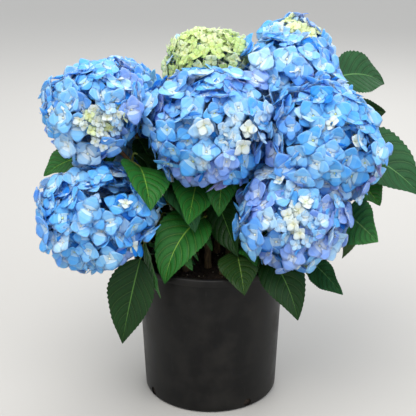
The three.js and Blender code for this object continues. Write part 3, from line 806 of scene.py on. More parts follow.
def pot_finish():
    """Moulded black polyethylene: soft dark sheen, dulled by dust, upright scuffs and a few specks. Its
    moulded pores are drawn coarser than life, so that they show."""
    black, dusty = "#0d0d0d", "#292724"
    material, tree, shader = new_material(
        "moulded_black_polyethylene", black, 0.42, {"IOR": 1.5, "Specular IOR Level": 0.2}
    )
    place = add(tree, "TexCoord").outputs["Object"]
    upright = add(tree, "Mapping", {"Vector": place, "Scale": (1, 1, 0.07)})
    dust = add(tree, "TexNoise", {"Vector": place, "Scale": per_mm(34), "Detail": 6.0})
    streaks = add(tree, "TexNoise", {"Vector": upright, "Scale": per_mm(2.2), "Detail": 2.0})
    specks = add(tree, "TexVoronoi", {"Vector": place, "Scale": per_mm(15)})
    wear, *others = [
        add(tree, "MapRange", {
            "Value": marks, "From Min": low, "From Max": high, "To Min": at_low, "To Max": at_high,
        })
        for marks, low, high, at_low, at_high in (
            (dust, 0.42, 0.72, 0.0, 0.55), (streaks, 0.66, 0.74, 0.0, 0.35), (specks, 0.035, 0.06, 0.75, 0.0),
        )
    ]
    for marks in others:
        wear = add(tree, "Math", {0: wear, 1: marks}, operation="MAXIMUM")
    skin = add(tree, "Mix", {"Factor": wear, "A": linear(black), "B": linear(dusty)}, data_type="RGBA")
    pores = add(tree, "TexNoise", {"Vector": place, "Scale": per_mm(1.1), "Detail": 2.0})
    relief = add(tree, "Bump", {"Height": pores, "Strength": 0.25, "Distance": 0.12 * MM})
    gloss = add(tree, "MapRange", {"Value": wear, "To Min": 0.38, "To Max": 0.7})
    feed(tree, shader, {"Base Color": skin, "Normal": relief, "Roughness": gloss})
    return material


# Trees that grow what repeats

def new_tree(name, sizes):
    """A Geometry Nodes tree that takes and gives geometry, with a named input for each size."""
    tree = bpy.data.node_groups.new(name, "GeometryNodeTree")
    tree.interface.new_socket("Geometry", in_out="OUTPUT", socket_type="NodeSocketGeometry")
    for label, kind in {"Geometry": "Geometry", **sizes}.items():
        tree.interface.new_socket(label, in_out="INPUT", socket_type=f"NodeSocket{kind}")
    return tree, add(tree, "NodeGroupInput").outputs


def end_tree(tree, geometry):
    add(tree, "NodeGroupOutput", {0: geometry})
    return tree


def grown(name, start, tree, values):
    """Runs a tree on a mesh and keeps what it makes as a plain mesh."""
    maker = piece_of(name, start)
    modifier = maker.modifiers.new(tree.name, "NODES")
    modifier.node_group = tree
    for item in tree.interface.items_tree:
        if item.in_out == "INPUT" and item.name in values:
            modifier[item.identifier] = values[item.name]
    made = plain_mesh(maker)
    bpy.data.objects.remove(maker)
    return piece_of(name, made)


def limb_tree():
    """Round limbs along lines, as thick as the lines' own attribute says, with a relief along them."""
    tree, given = new_tree("limbs", {
        "Sides": "Int", "Relief": "Float", "Grain": "Float", "Stretch": "Vector", "Material": "Material",
    })
    lines = add(tree, "MeshToCurve", {"Mesh": given["Geometry"]})
    ring = add(tree, "CurvePrimitiveCircle", {"Resolution": given["Sides"], "Radius": 1.0})
    thick = add(tree, "InputNamedAttribute", {"Name": "thick"}, data_type="FLOAT")
    limbs = add(tree, "CurveToMesh", {
        "Curve": lines, "Profile Curve": ring, "Scale": thick, "Fill Caps": True,
    })
    place = add(tree, "InputPosition")
    drawn = add(tree, "VectorMath", {0: place, 1: given["Stretch"]}, operation="MULTIPLY")
    ridges = add(tree, "TexNoise", {"Vector": drawn, "Scale": given["Grain"], "Detail": 3.0})
    height = add(tree, "Math", {0: ridges, 1: 0.5}, operation="SUBTRACT")
    height = add(tree, "Math", {0: height, 1: given["Relief"]}, operation="MULTIPLY")
    push = add(tree, "VectorMath", {0: add(tree, "InputNormal"), "Scale": height}, operation="SCALE")
    bark = add(tree, "SetPosition", {"Geometry": limbs, "Offset": push})
    bark = add(tree, "SetShadeSmooth", {"Geometry": bark, "Shade Smooth": True})
    bark = add(tree, "RealizeInstances", {"Geometry": bark})
    return end_tree(tree, add(tree, "SetMaterial", {"Geometry": bark, "Material": given["Material"]}))


def floret_tree():
    """Florets on points: four petals round an eye, each with its own small turn, tilt and size.
    The points say which way a floret faces, its turn, its size and the number of its tint."""
    tree, given = new_tree("florets", {
        "Petals": "Collection", "Eye": "Object", "Seed": "Int", **dict.fromkeys(FLORET_SPREADS, "Float"),
    })
    facing, turn, size, tint, zone, order = [
        add(tree, "InputNamedAttribute", {"Name": name}, data_type=kind)
        for name, kind in (
            ("facing", "FLOAT_VECTOR"), ("turn", "FLOAT"), ("size", "FLOAT"),
            ("tint", "INT"), ("zone", "INT"), ("order", "INT"),
        )
    ]
    dots = add(tree, "MeshToPoints", {"Mesh": given["Geometry"], "Radius": MM})
    outward = add(tree, "AlignRotationToVector", {"Vector": facing}, axis="Z")
    four = add(tree, "DuplicateElements", {"Geometry": dots, "Amount": 4}, domain="POINT")
    four = add(tree, "StoreNamedAttribute", {
        "Geometry": four, "Name": "order", "Value": four.outputs["Duplicate Index"],
    }, data_type="INT", domain="POINT")

    own = []
    middles = {"Turn Spread": 0.0, "Tilt Spread": 0.0, "Size Spread": 1.0}
    for step, (label, middle) in enumerate(middles.items()):
        ends = {}
        for end, operation in (("Min", "SUBTRACT"), ("Max", "ADD")):
            ends[end] = add(tree, "Math", {0: middle, 1: given[label]}, operation=operation)
        seed = add(tree, "Math", {0: given["Seed"], 1: float(step)}, operation="ADD")
        own.append(add(tree, "RandomValue", {**ends, "Seed": seed}, data_type="FLOAT"))
    quarter = add(tree, "Math", {0: order, 1: math.pi / 2, 2: turn}, operation="MULTIPLY_ADD")
    quarter = add(tree, "Math", {0: quarter, 1: own[0]}, operation="ADD")
    tilt = add(tree, "Math", {0: own[1], 1: given["Opening"]}, operation="SUBTRACT")
    posed = outward
    for axis, angle in (((0, 0, 1), quarter), ((0, 1, 0), tilt)):
        by = add(tree, "AxisAngleToRotation", {"Axis": axis, "Angle": angle})
        posed = add(tree, "RotateRotation", {"Rotation": posed, "Rotate By": by}, rotation_space="LOCAL")
    scale = add(tree, "Math", {0: own[2], 1: size}, operation="MULTIPLY")
    shape_seed = add(tree, "Math", {0: given["Seed"], 1: float(len(own))}, operation="ADD")
    shape = add(tree, "RandomValue", {"Min": 0, "Max": ANY_SHAPE, "Seed": shape_seed}, data_type="INT")
    shapes = add(tree, "CollectionInfo", {
        "Collection": given["Petals"], "Separate Children": True, "Reset Children": True,
    })
    petals = add(tree, "InstanceOnPoints", {
        "Points": four, "Instance": shapes, "Pick Instance": True, "Instance Index": shape,
        "Rotation": posed, "Scale": scale,
    })
    above = add(tree, "Math", {0: order, 1: 2.0}, operation="MODULO")
    above = add(tree, "Math", {0: above, 1: given["Lift"]}, operation="MULTIPLY")
    above = add(tree, "CombineXYZ", {"Z": above})
    petals = add(tree, "TranslateInstances", {
        "Instances": petals, "Translation": above, "Local Space": True,
    })

    bead = add(tree, "GeometryNodeObjectInfo", {"Object": given["Eye"], "As Instance": True})
    eyes = add(tree, "InstanceOnPoints", {
        "Points": dots, "Instance": bead.outputs["Geometry"], "Rotation": outward, "Scale": size,
    })
    florets = add(tree, "JoinGeometry", {"Geometry": eyes})
    feed(tree, florets, {"Geometry": petals})
    florets = add(tree, "SetShadeSmooth", {"Geometry": florets, "Shade Smooth": True})
    florets = add(tree, "RealizeInstances", {"Geometry": florets})
    wanted = add(tree, "Math", {0: tint, 1: float(len(ZONES)), 2: zone}, operation="MULTIPLY_ADD")
    for number, finish in enumerate(FLORET_FINISHES):
        wears = add(tree, "Compare", {"A": wanted, "B": number}, data_type="INT", operation="EQUAL")
        florets = add(tree, "SetMaterial", {"Geometry": florets, "Selection": wears, "Material": finish})
    return end_tree(tree, florets)


def crumb_tree(finishes):
    """Crumbs of potting mix strewn over the soil's upper side. Most wear the first finish."""
    tree, given = new_tree("crumbs", {
        "Crumbs": "Collection", "Density": "Float", "Seed": "Int", "Smallest": "Float", "Largest": "Float",
    })
    upward = add(tree, "SeparateXYZ", {"Vector": add(tree, "InputNormal")}).outputs["Z"]
    top = add(tree, "Compare", {"A": upward, "B": 0.5}, data_type="FLOAT")
    dots = add(tree, "DistributePointsOnFaces", {
        "Mesh": given["Geometry"], "Selection": top, "Density": given["Density"], "Seed": given["Seed"],
    })
    shapes = add(tree, "CollectionInfo", {
        "Collection": given["Crumbs"], "Separate Children": True, "Reset Children": True,
    })
    shape, size, spin, kind = [
        add(tree, "RandomValue", {"Min": least, "Max": most, "Seed": given["Seed"]}, data_type=data_type)
        for least, most, data_type in (
            (0, ANY_SHAPE, "INT"), (given["Smallest"], given["Largest"], "FLOAT"),
            ((0, 0, 0), (2 * math.pi,) * 3, "FLOAT_VECTOR"), (0, CRUMB_KINDS[-1], "INT"),
        )
    ]
    spin = add(tree, "EulerToRotation", {"Euler": spin})
    crumbs = add(tree, "InstanceOnPoints", {
        "Points": dots, "Instance": shapes, "Pick Instance": True, "Instance Index": shape,
        "Rotation": spin, "Scale": size,
    })
    crumbs = add(tree, "StoreNamedAttribute", {
        "Geometry": crumbs, "Name": "kind", "Value": kind,
    }, data_type="INT", domain="INSTANCE")
    crumbs = add(tree, "RealizeInstances", {"Geometry": crumbs})
    kind = add(tree, "InputNamedAttribute", {"Name": "kind"}, data_type="INT")
    for finish, least in zip(finishes, CRUMB_KINDS):
        wears = add(tree, "Compare", {"A": kind, "B": least}, data_type="INT", operation="GREATER_EQUAL")
        crumbs = add(tree, "SetMaterial", {"Geometry": crumbs, "Selection": wears, "Material": finish})
    return end_tree(tree, crumbs)


# Pot and soil

def rounded_corner(x, y, radius, start, end, steps=6):
    angles = np.radians(np.linspace(start, end, steps + 1))
    return [(x + radius * math.cos(a), y + radius * math.sin(a)) for a in angles]


def outer_wall_radius(z):
    foot = FOOT_RADIUS + CORNER_ROUND
    return foot + (WALL_TOP_RADIUS - foot) * z / POT_HEIGHT


def turned_mesh(name, profile, sides):
    """A closed turned form; its profile runs up the outside from the axis and ends on the axis."""
    radii, heights = np.array(profile[1:-1], float).T[..., None, None]
    turns = np.arange(sides) * 2 * math.pi / sides
    rings = radii * pointing(turns, 0 * turns) + heights * UP
    points = [(0, 0, profile[0][1]), (0, 0, profile[-1][1]), *rings.reshape(-1, 3)]
    columns = (2 + np.arange(len(radii) * sides)).reshape(-1, sides).T.tolist()
    faces = []
    for here, beside in zip(columns, columns[1:] + columns[:1]):
        faces.append((0, beside[0], here[0]))
        faces += zip(here, beside, beside[1:], here[1:])
        faces.append((here[-1], beside[-1], 1))
    return mesh_of(name, points, faces)


def make_pot():
    lip_foot = POT_HEIGHT - LIP_HEIGHT
    lip_round = POT_HEIGHT - LIP_ROUND
    wall = np.linspace(WALL_START, lip_foot - 2 * LIP_FILLET, WALL_RINGS)
    below_lip = outer_wall_radius(lip_foot) + LIP_FILLET
    mouth = outer_wall_radius(POT_HEIGHT) - WALL + LIP_ROUND
    profile = [
        (0, 0),
        (FOOT_RADIUS * BASE_RING, 0),
        *rounded_corner(FOOT_RADIUS, CORNER_ROUND, CORNER_ROUND, -90, 0),
        *[(outer_wall_radius(z), z) for z in wall],
        *rounded_corner(below_lip, lip_foot - LIP_FILLET, LIP_FILLET, 180, 90, steps=3),
        (LIP_RADIUS - LIP_BEVEL[0], lip_foot + LIP_BEVEL[1]),
        (LIP_RADIUS, lip_foot + LIP_ROUND),
        *rounded_corner(LIP_RADIUS - LIP_ROUND, lip_round, LIP_ROUND, 0, 90),
        *rounded_corner(mouth, lip_round, LIP_ROUND, 90, 180, steps=4),
        (outer_wall_radius(BASE_THICKNESS) - WALL, BASE_THICKNESS),
        (0, BASE_THICKNESS),
    ]
    pot = piece_of("nursery_pot", turned_mesh("nursery_pot", profile, POT_SIDES))
    for heading in DRAIN_HEADINGS:
        bpy.ops.mesh.primitive_cylinder_add(
            vertices=DRAIN_SIDES, radius=DRAIN_RADIUS * MM, depth=DRILL_LENGTH * MM
        )
        drill = bpy.context.object
        out = pointing(np.radians(heading), 0) * (FOOT_RADIUS + CORNER_ROUND - WALL)
        drill.location = Vector((out[0], out[1], DRAIN_LEVEL)) * MM
        drill.rotation_euler = (0, math.radians(90), math.radians(heading))
        cut = pot.modifiers.new("drain", "BOOLEAN")
        cut.object = drill
        cut.operation = "DIFFERENCE"
        pot.data = plain_mesh(pot)
        bpy.data.objects.remove(drill)
    pot.data.materials.append(pot_finish())
    smooth_by_angle(pot.data, POT_EDGE_ANGLE)
    return dressed(pot, "pot")


def make_soil():
    foot = BASE_THICKNESS + CLEARANCE
    brim = SOIL_TOP - SOIL_CROWN
    edge = outer_wall_radius(SOIL_TOP) - WALL - CLEARANCE
    wall = [(outer_wall_radius(z) - WALL - CLEARANCE, z) for z in np.linspace(foot, brim, SOIL_WALL_RINGS)]
    inwards = np.linspace(1, 0, SOIL_RINGS)[1:]
    crown = [(edge * r, SOIL_TOP - CLEARANCE - SOIL_CROWN * r**CROWN_CURVE) for r in inwards]
    mesh = turned_mesh("potting_soil", [(0, foot), *wall, *crown], SOIL_SIDES)
    for vertex in mesh.vertices:
        place = vertex.co / MM
        if place.z > brim - LUMP_MARGINS[0] and Vector(place.xy).length < edge - LUMP_MARGINS[1]:
            lump = noise.noise(place / SOIL_LUMP) + FINE_LUMP_SHARE * noise.noise(place / FINE_LUMP)
            vertex.co.z += (lump - SOIL_SINK) * SOIL_LUMP_HEIGHT * MM
    soil = piece_of("potting_soil", mesh)
    soil.data.materials.append(SOIL_FINISH)
    return dressed(soil, "soil")


def crumb_shape(seed):
    """A crumb: a ball of twenty faces, squeezed and dented."""
    bpy.ops.mesh.primitive_ico_sphere_add(subdivisions=1, radius=0.5)
    crumb = bpy.context.object
    crumb.name = f"crumb_{seed}"
    for vertex in crumb.data.vertices:
        swell = 1 + CRUMB_DENTS * noise.noise(vertex.co * 2 + Vector((seed, 0, 0)))
        vertex.co *= Vector(CRUMB_SQUEEZE) * swell
    return crumb


def shelf(name, shapes):
    """Takes shapes off the scene and keeps them in a collection for a tree to pick from."""
    collection = bpy.data.collections.new(name)
    for shape in shapes:
        for holder in list(shape.users_collection):
            holder.objects.unlink(shape)
        collection.objects.link(shape)
    return collection


def clear_shelf(collection):
    for shape in list(collection.objects):
        bpy.data.objects.remove(shape)
    bpy.data.collections.remove(collection)


def make_crumbs(soil):
    crumbs = shelf("crumb_shapes", [crumb_shape(seed) for seed in range(CRUMB_SHAPES)])
    made = grown("soil_crumbs", soil.data.copy(), crumb_tree([SOIL_FINISH, *CRUMB_FINISHES]), {
        "Crumbs": crumbs, "Density": float(CRUMBS_PER_M2), "Seed": SHARED_SEED,
        "Smallest": CRUMB_SIZES[0] * MM, "Largest": CRUMB_SIZES[1] * MM,
    })
    clear_shelf(crumbs)
    return dressed(made, "soil")


# Canes, shoots and petioles

def limbs(name, kind, lines, finish):
    """Limbs of one kind along lines of points, each point with its thickness."""
    points, thick = [np.concatenate(parts) for parts in zip(*lines)]
    ends = np.cumsum([len(places) for places, _ in lines]) - 1
    starts = np.setdiff1d(np.arange(len(points)), ends)
    mesh = mesh_of(name, points, edges=np.stack([starts, starts + 1], axis=-1).tolist())
    set_attribute(mesh, "thick", "FLOAT", "POINT", thick * MM)
    sides, relief, grain, stretch = LIMB_KINDS[kind]
    return grown(name, mesh, LIMBS, {
        "Sides": sides, "Relief": relief * MM, "Grain": per_mm(grain), "Stretch": (1, 1, stretch),
        "Material": finish,
    })


def cane_line(name):
    """A cane, a little swollen at its joints."""
    places, _ = even_points(cane_handles(name), CANE_POINTS)
    joint = np.cos(2 * math.pi * places[:, 2] / CANE_JOINT) ** JOINT_SHARPNESS
    return places, np.linspace(*CANE_RADII, CANE_POINTS) * (1 + CANE_SWELLING * joint)


def shoot_line(shoot):
    """A shoot, swollen where its pairs of leaves stand."""
    places, share = even_points(shoot["handles"], SHOOT_POINTS)
    thick = np.linspace(*SHOOT_RADII, SHOOT_POINTS)
    for along in PAIR_PLACES:
        thick = thick * (1 + SHOOT_SWELLING * np.exp(-(((share - along) / SWELLING_LENGTH) ** 2)))
    return places, thick


def petiole_line(leaf):
    """A petiole leaves the stem with a flared foot and turns into the midrib."""
    forward = blade_frame(leaf, np.zeros(1))[1][0]
    distance = np.linalg.norm(leaf["base"] - leaf["root"])
    handle = leaf["base"] - forward * PETIOLE_END * distance
    share = np.linspace(0, 1, PETIOLE_POINTS)
    thick = np.linspace(*PETIOLE_RADII, PETIOLE_POINTS) + PETIOLE_FLARE * (1 - share) ** FLARE_SHARPNESS
    return bezier((leaf["root"], handle, leaf["base"]), share), thick


def make_stems():
    """The canes, and for each cane its shoots, joined, and their petioles, joined."""
    for cane in CANES:
        piece = limbs(f"woody_cane_{cane}", "cane", [cane_line(cane)], BARK_FINISH)
        dressed(piece, f"cane_{cane}")
    for cane in CANES:
        shoots = [shoot for shoot in SHOOTS.values() if shoot["cane"] == cane]
        skin = RIPENING_SHOOT_FINISH if cane in BROWN_SHOOTS else GREEN_SHOOT_FINISH
        petioles = [petiole_line(leaf) for shoot in shoots for leaf in shoot["leaves"]]
        for kind, lines, finish in (
            ("shoot", [shoot_line(shoot) for shoot in shoots], skin), ("petiole", petioles, PETIOLE_FINISH),
        ):
            dressed(limbs(f"{kind}s_{cane}", kind, lines, finish), f"leaves_{cane}")


# Leaf blades

def closed_sheet(rows, columns):
    """Quads and triangles of a thin sheet between a base point, 0, and a tip point, 1. Rows run from
    base to tip and columns to the right. The upper side and the underside share their outline."""
    top = 2 + np.arange(rows * columns).reshape(rows, columns)
    under = top.copy()
    under[:, 1:-1] = top.max() + 1 + np.arange(rows * (columns - 2)).reshape(rows, -1)
    quads, triangles = [], []
    for grid, step in ((top, 1), (under, -1)):
        for left, right in zip(grid.T[:-1], grid.T[1:]):
            triangles += [(0, right[0], left[0])[::step], (1, left[-1], right[-1])[::step]]
            for a, b, c, d in zip(left, right, right[1:], left[1:]):
                # Both sides are split along the same diagonal, so that neither comes through the other.
                quads.append((a, b, c, d) if step > 0 else (a, d, c, b))
    return np.array(quads), np.array(triangles)


def sheet_points(ends, upper, lower):
    """The points of a closed sheet, or a value for each, in the order in which its faces count them."""
    size = upper.shape[-1]
    return np.concatenate([ends, upper.reshape(-1, size), lower[:, 1:-1].reshape(-1, size)])


def blade_points(leaf, wave):
    """The fine blade: toothed, folded, quilted between its side veins, with a rib below. Gives each
    point's place and its place on the flat blade. The powers set how soon a form fades from the margin
    inwards, or from the middle outwards."""
    rows = 2 * TEETH
    s = (np.arange(rows)[:, None] + 0.5) / rows
    place, _, side, face = blade_frame(leaf, s[:, 0])
    outline = LEAF_FULLNESS * np.sin(math.pi * s**LEAF_BELLY) ** LEAF_ROUNDNESS * (1 - TIP_NARROWING * s**3)
    half = np.maximum(leaf["width"] * outline, PETIOLE_WIDTH * (1 - s))
    tooth = np.where(np.arange(rows) % 2, 0, TOOTH_DEPTH)[:, None]
    across = np.array(BLADE_COLUMNS) * np.ones((rows, 1))
    beside = np.abs(across)
    out = across * half * (1 - tooth * beside**6)
    phase = (s - VEIN_SWEEP * beside**VEIN_CURVE) * SIDE_VEINS
    inward = np.sin(math.pi * s) ** 0.5
    puff = np.abs(np.sin(math.pi * phase)) ** 0.8 * beside**0.5 * (1 - beside**4) * inward
    waves = MARGIN_WAVES * s + wave + WAVE_SHIFT * np.sign(across)
    ripple = np.sin(2 * math.pi * waves) * beside**3 * inward
    lift = np.abs(out) * math.tan(FOLD) + QUILTING * puff + MARGIN_WAVE * ripple
    thickness = BLADE_THICKNESS * (1 - beside**8)
    rib = RIB_HEIGHT * (1 - s) ** 0.7 * np.exp(-((beside / RIB_WIDTH) ** 2))
    spot = place[:, None] + side[:, None] * out[..., None] + face[:, None] * lift[..., None]
    upper = spot + face[:, None] * (0.5 * thickness - RIB_DENT * rib)[..., None]
    lower = spot - face[:, None] * (0.5 * thickness + rib)[..., None]
    flat = np.stack(np.broadcast_arrays((across + 1) / 2, s), axis=-1)
    points = sheet_points([leaf["base"], leaf["tip"]], upper, lower)
    return points, sheet_points([(0.5, 0), (0.5, 1)], flat, flat)


def make_blades():
    quads, triangles = closed_sheet(2 * TEETH, len(BLADE_COLUMNS))
    count = quads.max() + 1
    greens = list(LEAF_FINISHES)
    random = np.random.default_rng(SHARED_SEED)
    for cane in CANES:
        points, faces, worn, flat_places = [], [], [], []
        leaves = [leaf for shoot in SHOOTS.values() if shoot["cane"] == cane for leaf in shoot["leaves"]]
        for number, leaf in enumerate(leaves):
            blade, flat = blade_points(leaf, random.random())
            points.append(blade)
            flat_places.append(flat)
            green = greens.index(leaf.get("green", random.choice(greens)))
            for corners in (quads, triangles):
                faces += (corners + number * count).tolist()
                half = len(corners) // 2
                worn += [green] * half + [len(greens)] * half
        mesh = mesh_of(f"blades_{cane}", np.concatenate(points), faces)
        corners = np.zeros(len(mesh.loops), int)
        mesh.loops.foreach_get("vertex_index", corners)
        layer = mesh.uv_layers.new(name="blade")
        layer.data.foreach_set("uv", np.concatenate(flat_places)[corners].ravel())
        for finish in (*LEAF_FINISHES.values(), LEAF_BACK_FINISH):
            mesh.materials.append(finish)
        mesh.polygons.foreach_set("material_index", worn)
        smooth_by_angle(mesh, BLADE_EDGE_ANGLE)
        dressed(piece_of(f"blades_{cane}", mesh), f"leaves_{cane}")


# Blooms

def petal_shape(name, cup, recurve, crease):
    """A broad petal that lies along +X and cups towards +Z. It thins out to its edge."""
    rows = np.array(PETAL_ROWS)[:, None]
    columns = np.linspace(-1, 1, PETAL_COLUMNS + 1)
    quads, triangles = closed_sheet(len(rows), len(columns))
    roundness = PETAL_ROUNDNESS[0] + PETAL_ROUNDNESS[1] * rows
    y = -PETAL_WIDTH / 2 * np.sin(math.pi * rows**PETAL_BELLY) ** roundness * columns
    run = PETAL_LENGTH * rows
    x = PETAL_START + run - PETAL_SWEEP * y**2 / (run + SWEEP_START)
    bulge = crease * np.abs(columns) ** 1.5 * np.sin(math.pi * rows)
    z = PETAL_LENGTH * (cup * rows - recurve * rows**2) + bulge
    middle = np.stack([x, y, z], axis=-1)
    half = (PETAL_THICKNESS / 2 * (1 - columns**4))[:, None] * UP
    tip = (PETAL_START + PETAL_LENGTH * PETAL_POINT, 0, PETAL_LENGTH * (cup - recurve))
    points = sheet_points([(PETAL_START, 0, 0), tip], middle + half, middle - half)
    mesh = mesh_of(name, points, quads.tolist() + triangles.tolist())
    quad_zones = np.tile(PETAL_ZONES, len(quads) // len(PETAL_ZONES))
    end_zones = np.tile((PETAL_ZONES[0], PETAL_ZONES[-1]), len(triangles) // 2)
    set_attribute(mesh, "zone", "INT", "FACE", np.concatenate([quad_zones, end_zones]))
    return piece_of(name, mesh)


def eye_shape():
    bpy.ops.mesh.primitive_ico_sphere_add(subdivisions=1, radius=EYE_RADIUS * MM)
    eye = bpy.context.object
    for vertex in eye.data.vertices:
        vertex.co.z = vertex.co.z * EYE_SQUASH + EYE_LIFT * MM
    set_attribute(eye.data, "zone", "INT", "FACE", [ZONES.index("eye")] * len(eye.data.polygons))
    return eye


def spiral(count, random):
    """Directions spread evenly all round, each a little off its place."""
    index = np.arange(count)
    spin = 2 * math.pi * random.random()
    directions = pointing(spin + index * GOLDEN_ANGLE, np.arcsin(1 - 2 * (index + 0.5) / count))
    return unit(directions + FLORET_SCATTER / math.sqrt(count) * random.normal(size=directions.shape))


def patch_of(name, directions, random):
    """Which florets lie in the bloom's patch of young ones."""
    patch = BLOOM_COLOURS[name][2]
    if patch is None:
        return np.zeros(len(directions), bool)
    _, heading, pitch, spread, _ = patch
    return degrees_from(directions, heading, pitch) < spread * random.uniform(*PATCH_BORDER, len(directions))


def tint_numbers(name, directions, young, inside, random):
    """A tint for each of a set of florets, dealt out by the bloom's mixes."""
    main, below, patch = BLOOM_COLOURS[name]
    low = directions[:, 2] < UNDERSIDE - UNDERSIDE_BLUR * random.random(len(directions))
    mixes = [below if is_low else main for is_low in low]
    # Young florets take their patch's mix, and the deepest layer takes deeper blues as painted shade.
    if young:
        mixes = [patch[0] if patch else "faded"] * len(low)
    elif inside:
        mixes = ["inside"] * len(low)
    numbers = []
    for mix in mixes:
        weights = np.array([MIXES[mix].get(tint, 0) for tint in PETAL_TINTS], float)
        numbers.append(int(random.choice(len(weights), p=weights / weights.sum())))
    return np.array(numbers, int)


def florets_of(name, random):
    """Places, directions, facings, sizes and tints of a bloom's florets. They stand in cymes, each a
    dome, with valleys between them, and the domes fill the bloom's reach."""
    bloom = BLOOMS[name]
    axis = axis_of(bloom)
    area = bloom["radius"] * bloom["rise"] / COUNT_SIZE**2
    domes = spiral(round(CYMES * area), random)
    dome_width = math.sqrt(4 / len(domes))
    patch = BLOOM_COLOURS[name][2]
    sets = []
    for layer, is_young in product(LAYERS, (False, True)):
        young_size = (patch[4] if patch else YOUNG_SIZE) if is_young else 1
        directions = spiral(round(layer["count"] * area * YOUNG_CROWDING / young_size**2), random)
        in_patch = patch_of(name, directions, random)
        smooth = floret_reach(name, directions)
        full = ellipsoid_radius(bloom, directions)
        stalk_side = -directions @ axis
        kept = (stalk_side < STALK_SIDE) & ((smooth > CUT_FLORET * full) | (stalk_side > DENT_FROM))
        kept &= random.random(len(directions)) > MISSING_FLORETS
        if is_young:
            kept &= in_patch | (random.random(len(directions)) < STRAY_FLORETS)
        else:
            kept &= ~in_patch
        if name in OPENINGS:
            *middle, spread = OPENINGS[name]
            kept &= degrees_from(directions, *middle) > spread
        directions = directions[kept]
        aside = directions - domes[np.argmax(directions @ domes.T, axis=1)]
        off = np.linalg.norm(aside, axis=1) / dome_width
        dome = 1 + DOME_RISE - VALLEY_DEPTH * off**2
        depths = np.array(layer["depths"]) * (YOUNG_DEPTH if is_young else 1)
        depth = np.resize(depths, len(directions))
        out = smooth[kept] * dome * layer["share"] - depth
        slope = aside * DOME_LEAN * VALLEY_DEPTH / dome_width**2
        facing = directions + floret_normal(name, directions) + slope
        facing[:, 2] += DROOP * np.maximum(-directions[:, 2], 0)
        facing = unit(unit(facing) + FLORET_LEAN * random.normal(size=facing.shape))
        size = random.uniform(*layer["size"], len(directions)) * young_size
        places = np.array(bloom["at"]) + directions * out[:, None]
        tints = tint_numbers(name, directions, is_young, layer["inside"], random)
        sets.append((places, directions, facing, size, tints))
    return [np.concatenate(parts) for parts in zip(*sets)]


def keep_within(mesh, name):
    """Draws in what stands out past the bloom's reach."""
    centre = np.array(BLOOMS[name]["at"])
    points = np.zeros(3 * len(mesh.vertices))
    mesh.vertices.foreach_get("co", points)
    offset = points.reshape(-1, 3) / MM - centre
    distance = np.linalg.norm(offset, axis=1)
    over = np.maximum(distance - OVERHANG - floret_reach(name, offset / distance[:, None]), 0)
    offset *= ((distance - DRAWN_IN * over) / distance)[:, None]
    mesh.vertices.foreach_set("co", ((centre + offset) * MM).ravel())
    mesh.update()


def stalk_lines(name, places, directions):
    """The stalk's branches, and a thin stalk from the nearest branch to each floret."""
    bloom = BLOOMS[name]
    axis = axis_of(bloom)
    centre = np.array(bloom["at"])
    foot = bloom_foot(name) + CLEARANCE * axis
    fork = centre - axis * bloom["rise"] * FORK_DEPTH
    along = np.linspace(0, 1, BRANCH_POINTS)
    lines = [(bezier((foot, fork), along), np.linspace(SHOOT_RADII[1], FORK_RADIUS, BRANCH_POINTS))]
    index = np.arange(BRANCH_COUNT)
    pitch = np.arcsin(1 - BRANCH_FAN * (index + 0.5) / BRANCH_COUNT)
    spread = pointing(index * GOLDEN_ANGLE, pitch)
    spread = unit(spread + (axis - UP) * BRANCH_LEAN)
    ends = centre + spread * (BRANCH_REACH * bloom_reach(name, spread))[:, None]
    for end in ends:
        handles = (fork, (fork + end) / 2 + axis * BRANCH_BOW, end)
        lines.append((bezier(handles, along), np.linspace(*BRANCH_RADII, BRANCH_POINTS)))
    along = np.linspace(0, 1, FLORET_STALK_POINTS)
    for place, direction in zip(places, directions):
        start = ends[np.argmin(np.linalg.norm(ends - place, axis=1))]
        handles = (start, place - direction * 0.5 * np.linalg.norm(place - start), place)
        lines.append((bezier(handles, along), np.linspace(*FLORET_STALK_RADII, FLORET_STALK_POINTS)))
    return lines


def make_blooms():
    shapes = [petal_shape(f"petal_{name}", *form) for name, form in PETAL_FORMS.items()]
    petals = shelf("petal_shapes", shapes)
    eyes = shelf("eye_shapes", [eye_shape()])
    tree = floret_tree()
    for number, name in enumerate(BLOOMS):
        random = np.random.default_rng(SHARED_SEED + number)
        places, directions, facing, sizes, tints = florets_of(name, random)
        start = mesh_of(name, places)
        turns = random.uniform(0, math.pi, len(places))
        for label, kind, values in (
            ("facing", "FLOAT_VECTOR", facing), ("turn", "FLOAT", turns),
            ("size", "FLOAT", sizes), ("tint", "INT", tints),
        ):
            set_attribute(start, label, kind, "POINT", values)
        florets = grown(f"florets_{name}", start, tree, {
            "Petals": petals, "Eye": eyes.objects[0], "Seed": SHARED_SEED + number, **FLORET_SPREADS,
        })
        keep_within(florets.data, name)
        stalks = limbs(f"stalks_{name}", "stalk", stalk_lines(name, places, directions), STALK_FINISH)
        for piece in (florets, stalks):
            dressed(piece, f"bloom_{name}")
    clear_shelf(petals)
    clear_shelf(eyes)


# Stage, light and camera

def set_stage():
    bpy.ops.mesh.primitive_plane_add(size=FLOOR_SIZE)
    floor = bpy.context.object
    floor.name = "studio_floor"
    floor.data.materials.append(new_material("matt_pale_floor", "#b4b2ae", 0.9)[0])
    world = bpy.data.worlds.new("studio")
    bpy.context.scene.world = world
    world.use_nodes = True
    sky = {"Color": linear("#eef1f5"), "Strength": SKY_STRENGTH}
    feed(world.node_tree, world.node_tree.nodes["Background"], sky)
    for name, (place, aim, size, power, colour) in LIGHTS.items():
        lamp = bpy.data.lights.new(name, "AREA")
        lamp.shape = "DISK"
        lamp.size = size
        lamp.energy = power
        lamp.color = linear(colour)[:3]
        light = bpy.data.objects.new(name, lamp)
        light.location = place
        light.rotation_euler = (Vector(aim) - Vector(place)).to_track_quat("-Z", "Y").to_euler()
        bpy.context.scene.collection.objects.link(light)
    bpy.context.scene.view_settings.view_transform = "Standard"


